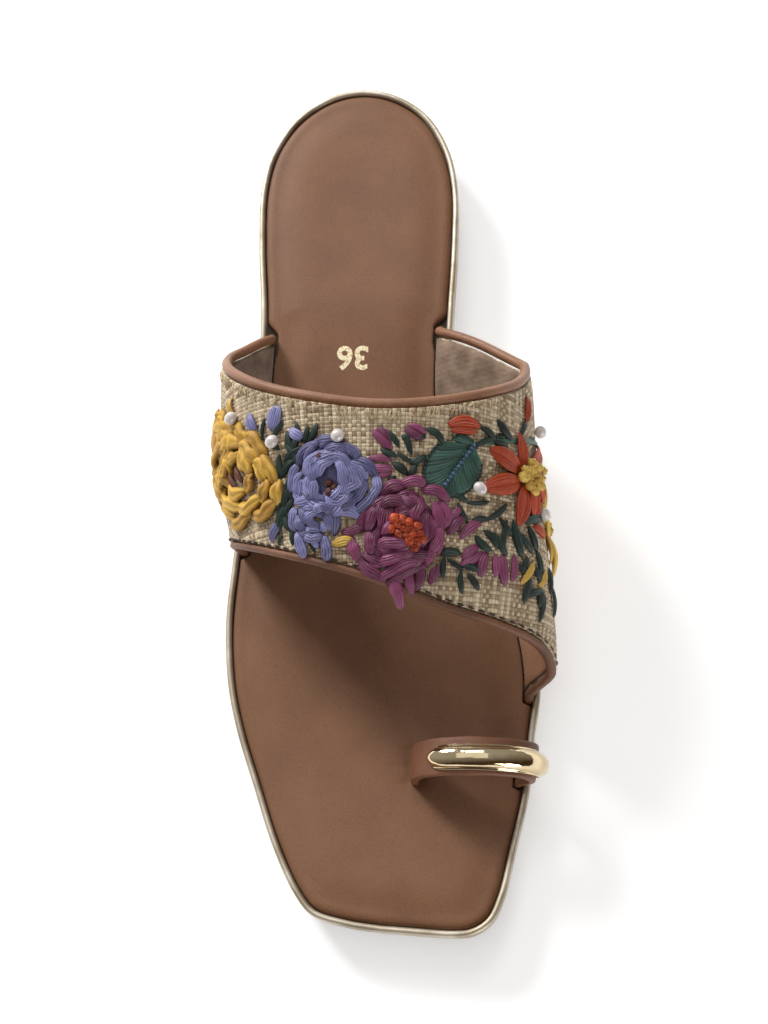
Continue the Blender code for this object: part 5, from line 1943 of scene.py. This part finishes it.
PEARL_RADIUS = 1.6 * mm
PEARLS_PX = ((108, 431), (142, 451), (197, 446), (316, 492), (364, 444), (368, 515))


def pearl_lacquer(name):
    """Pearl lacquer on a plastic bead: cream, clouded, under a clear glossy coat."""
    coat = {"Coat Weight": 1.0, "Coat Roughness": 0.08}
    material, shader = start_material(name, {"Roughness": 0.32, "Sheen Weight": 0.3, **coat})
    clouds = noise(material, object_place(material), 1.5 * mm, 2.0)
    return finish(material, shader, between(material, clouds, "#B9ADAC", "#E3DBD4"))


pearl_places = np.concatenate([chart(PEARLS_PX), on_strap([0.90, 0.06], [0.50, 0.49])])
pearls = balls(pearl_places, PEARL_RADIUS, wound=0.0, sides=24, rounds=17, base=0.25 * mm)
sew("pearl_beads", pearl_lacquer("cream_pearl_lacquer"), "pearl_bead", pearls)

# Light and floor
# A plain studio: one soft light low behind the heel on the little-toe side, weak ones behind,
# above and in front, a pale surround that is dimmer in front on the big-toe side, and a white
# acrylic floor that is lit from below.


def soft_light(name, place, size, watts):
    """A square area light aimed at the sandal's middle."""
    lamp = bpy.data.objects.new(name, bpy.data.lights.new(name, "AREA"))
    lamp.data.shape = "SQUARE"
    lamp.data.size = size
    lamp.data.energy = watts
    spot = np.array(place)
    back = spot / np.linalg.norm(spot)
    side = np.cross((0, 1, 0) if abs(back[2]) > 0.9 else (0, 0, 1), back)
    side /= np.linalg.norm(side)
    turned = Matrix(np.stack([side, np.cross(back, side), back], axis=1)).to_4x4()
    lamp.matrix_world = Matrix.Translation(place) @ turned
    bpy.context.collection.objects.link(lamp)


soft_light("key_light", (-0.83, 1.0, 0.77), 0.45, 23.5)
soft_light("back_light", (-0.06, 0.9, 1.25), 0.5, 4)
soft_light("top_light", (-0.1, 0.1, 1.45), 1.1, 2.2)
soft_light("front_light", (0.7, -1.25, 0.24), 0.5, 9)

# The surround darkens towards this way: forward, to the big-toe side and down
DIM_WAY = (0.4, -0.8, -0.45)
DIM_FROM, DIM_TO = -0.55, 0.45
SURROUND_STRENGTH = 0.38
FLOOR_GLOW = 0.46
FLOOR_REACH = 3

surround = bpy.data.worlds.new("surround")
surround.use_nodes = True
way = add_node(surround, "TexCoord", {}), "Generated"
aside = add_node(surround, "VectorMath", {0: way, 1: DIM_WAY}, operation="DOT_PRODUCT")
sky, output = between(surround, ranged(surround, (aside, "Value"), DIM_FROM, DIM_TO), "#FFFCF8", "#6C523E")
background = surround.node_tree.nodes["Background"]
background.inputs["Strength"].default_value = SURROUND_STRENGTH
surround.node_tree.links.new(sky.outputs[output], background.inputs["Color"])
bpy.context.scene.world = surround
bpy.context.scene.view_settings.view_transform = "Standard"

floor_mesh = bpy.data.meshes.new("floor")
corners = [(x * FLOOR_REACH, y * FLOOR_REACH, 0) for x, y in ((-1, -1), (1, -1), (1, 1), (-1, 1))]
floor_mesh.from_pydata(corners, [], [(0, 1, 2, 3)])
glow = {"Emission Color": srgb("#FFFFFF"), "Emission Strength": FLOOR_GLOW}
paper, shader = start_material("lit_white_acrylic", {"Base Color": srgb("#E4E4E4"), "Roughness": 0.9, **glow})
floor_mesh.materials.append(paper)
floor = bpy.data.objects.new("floor", floor_mesh)
bpy.context.collection.objects.link(floor)
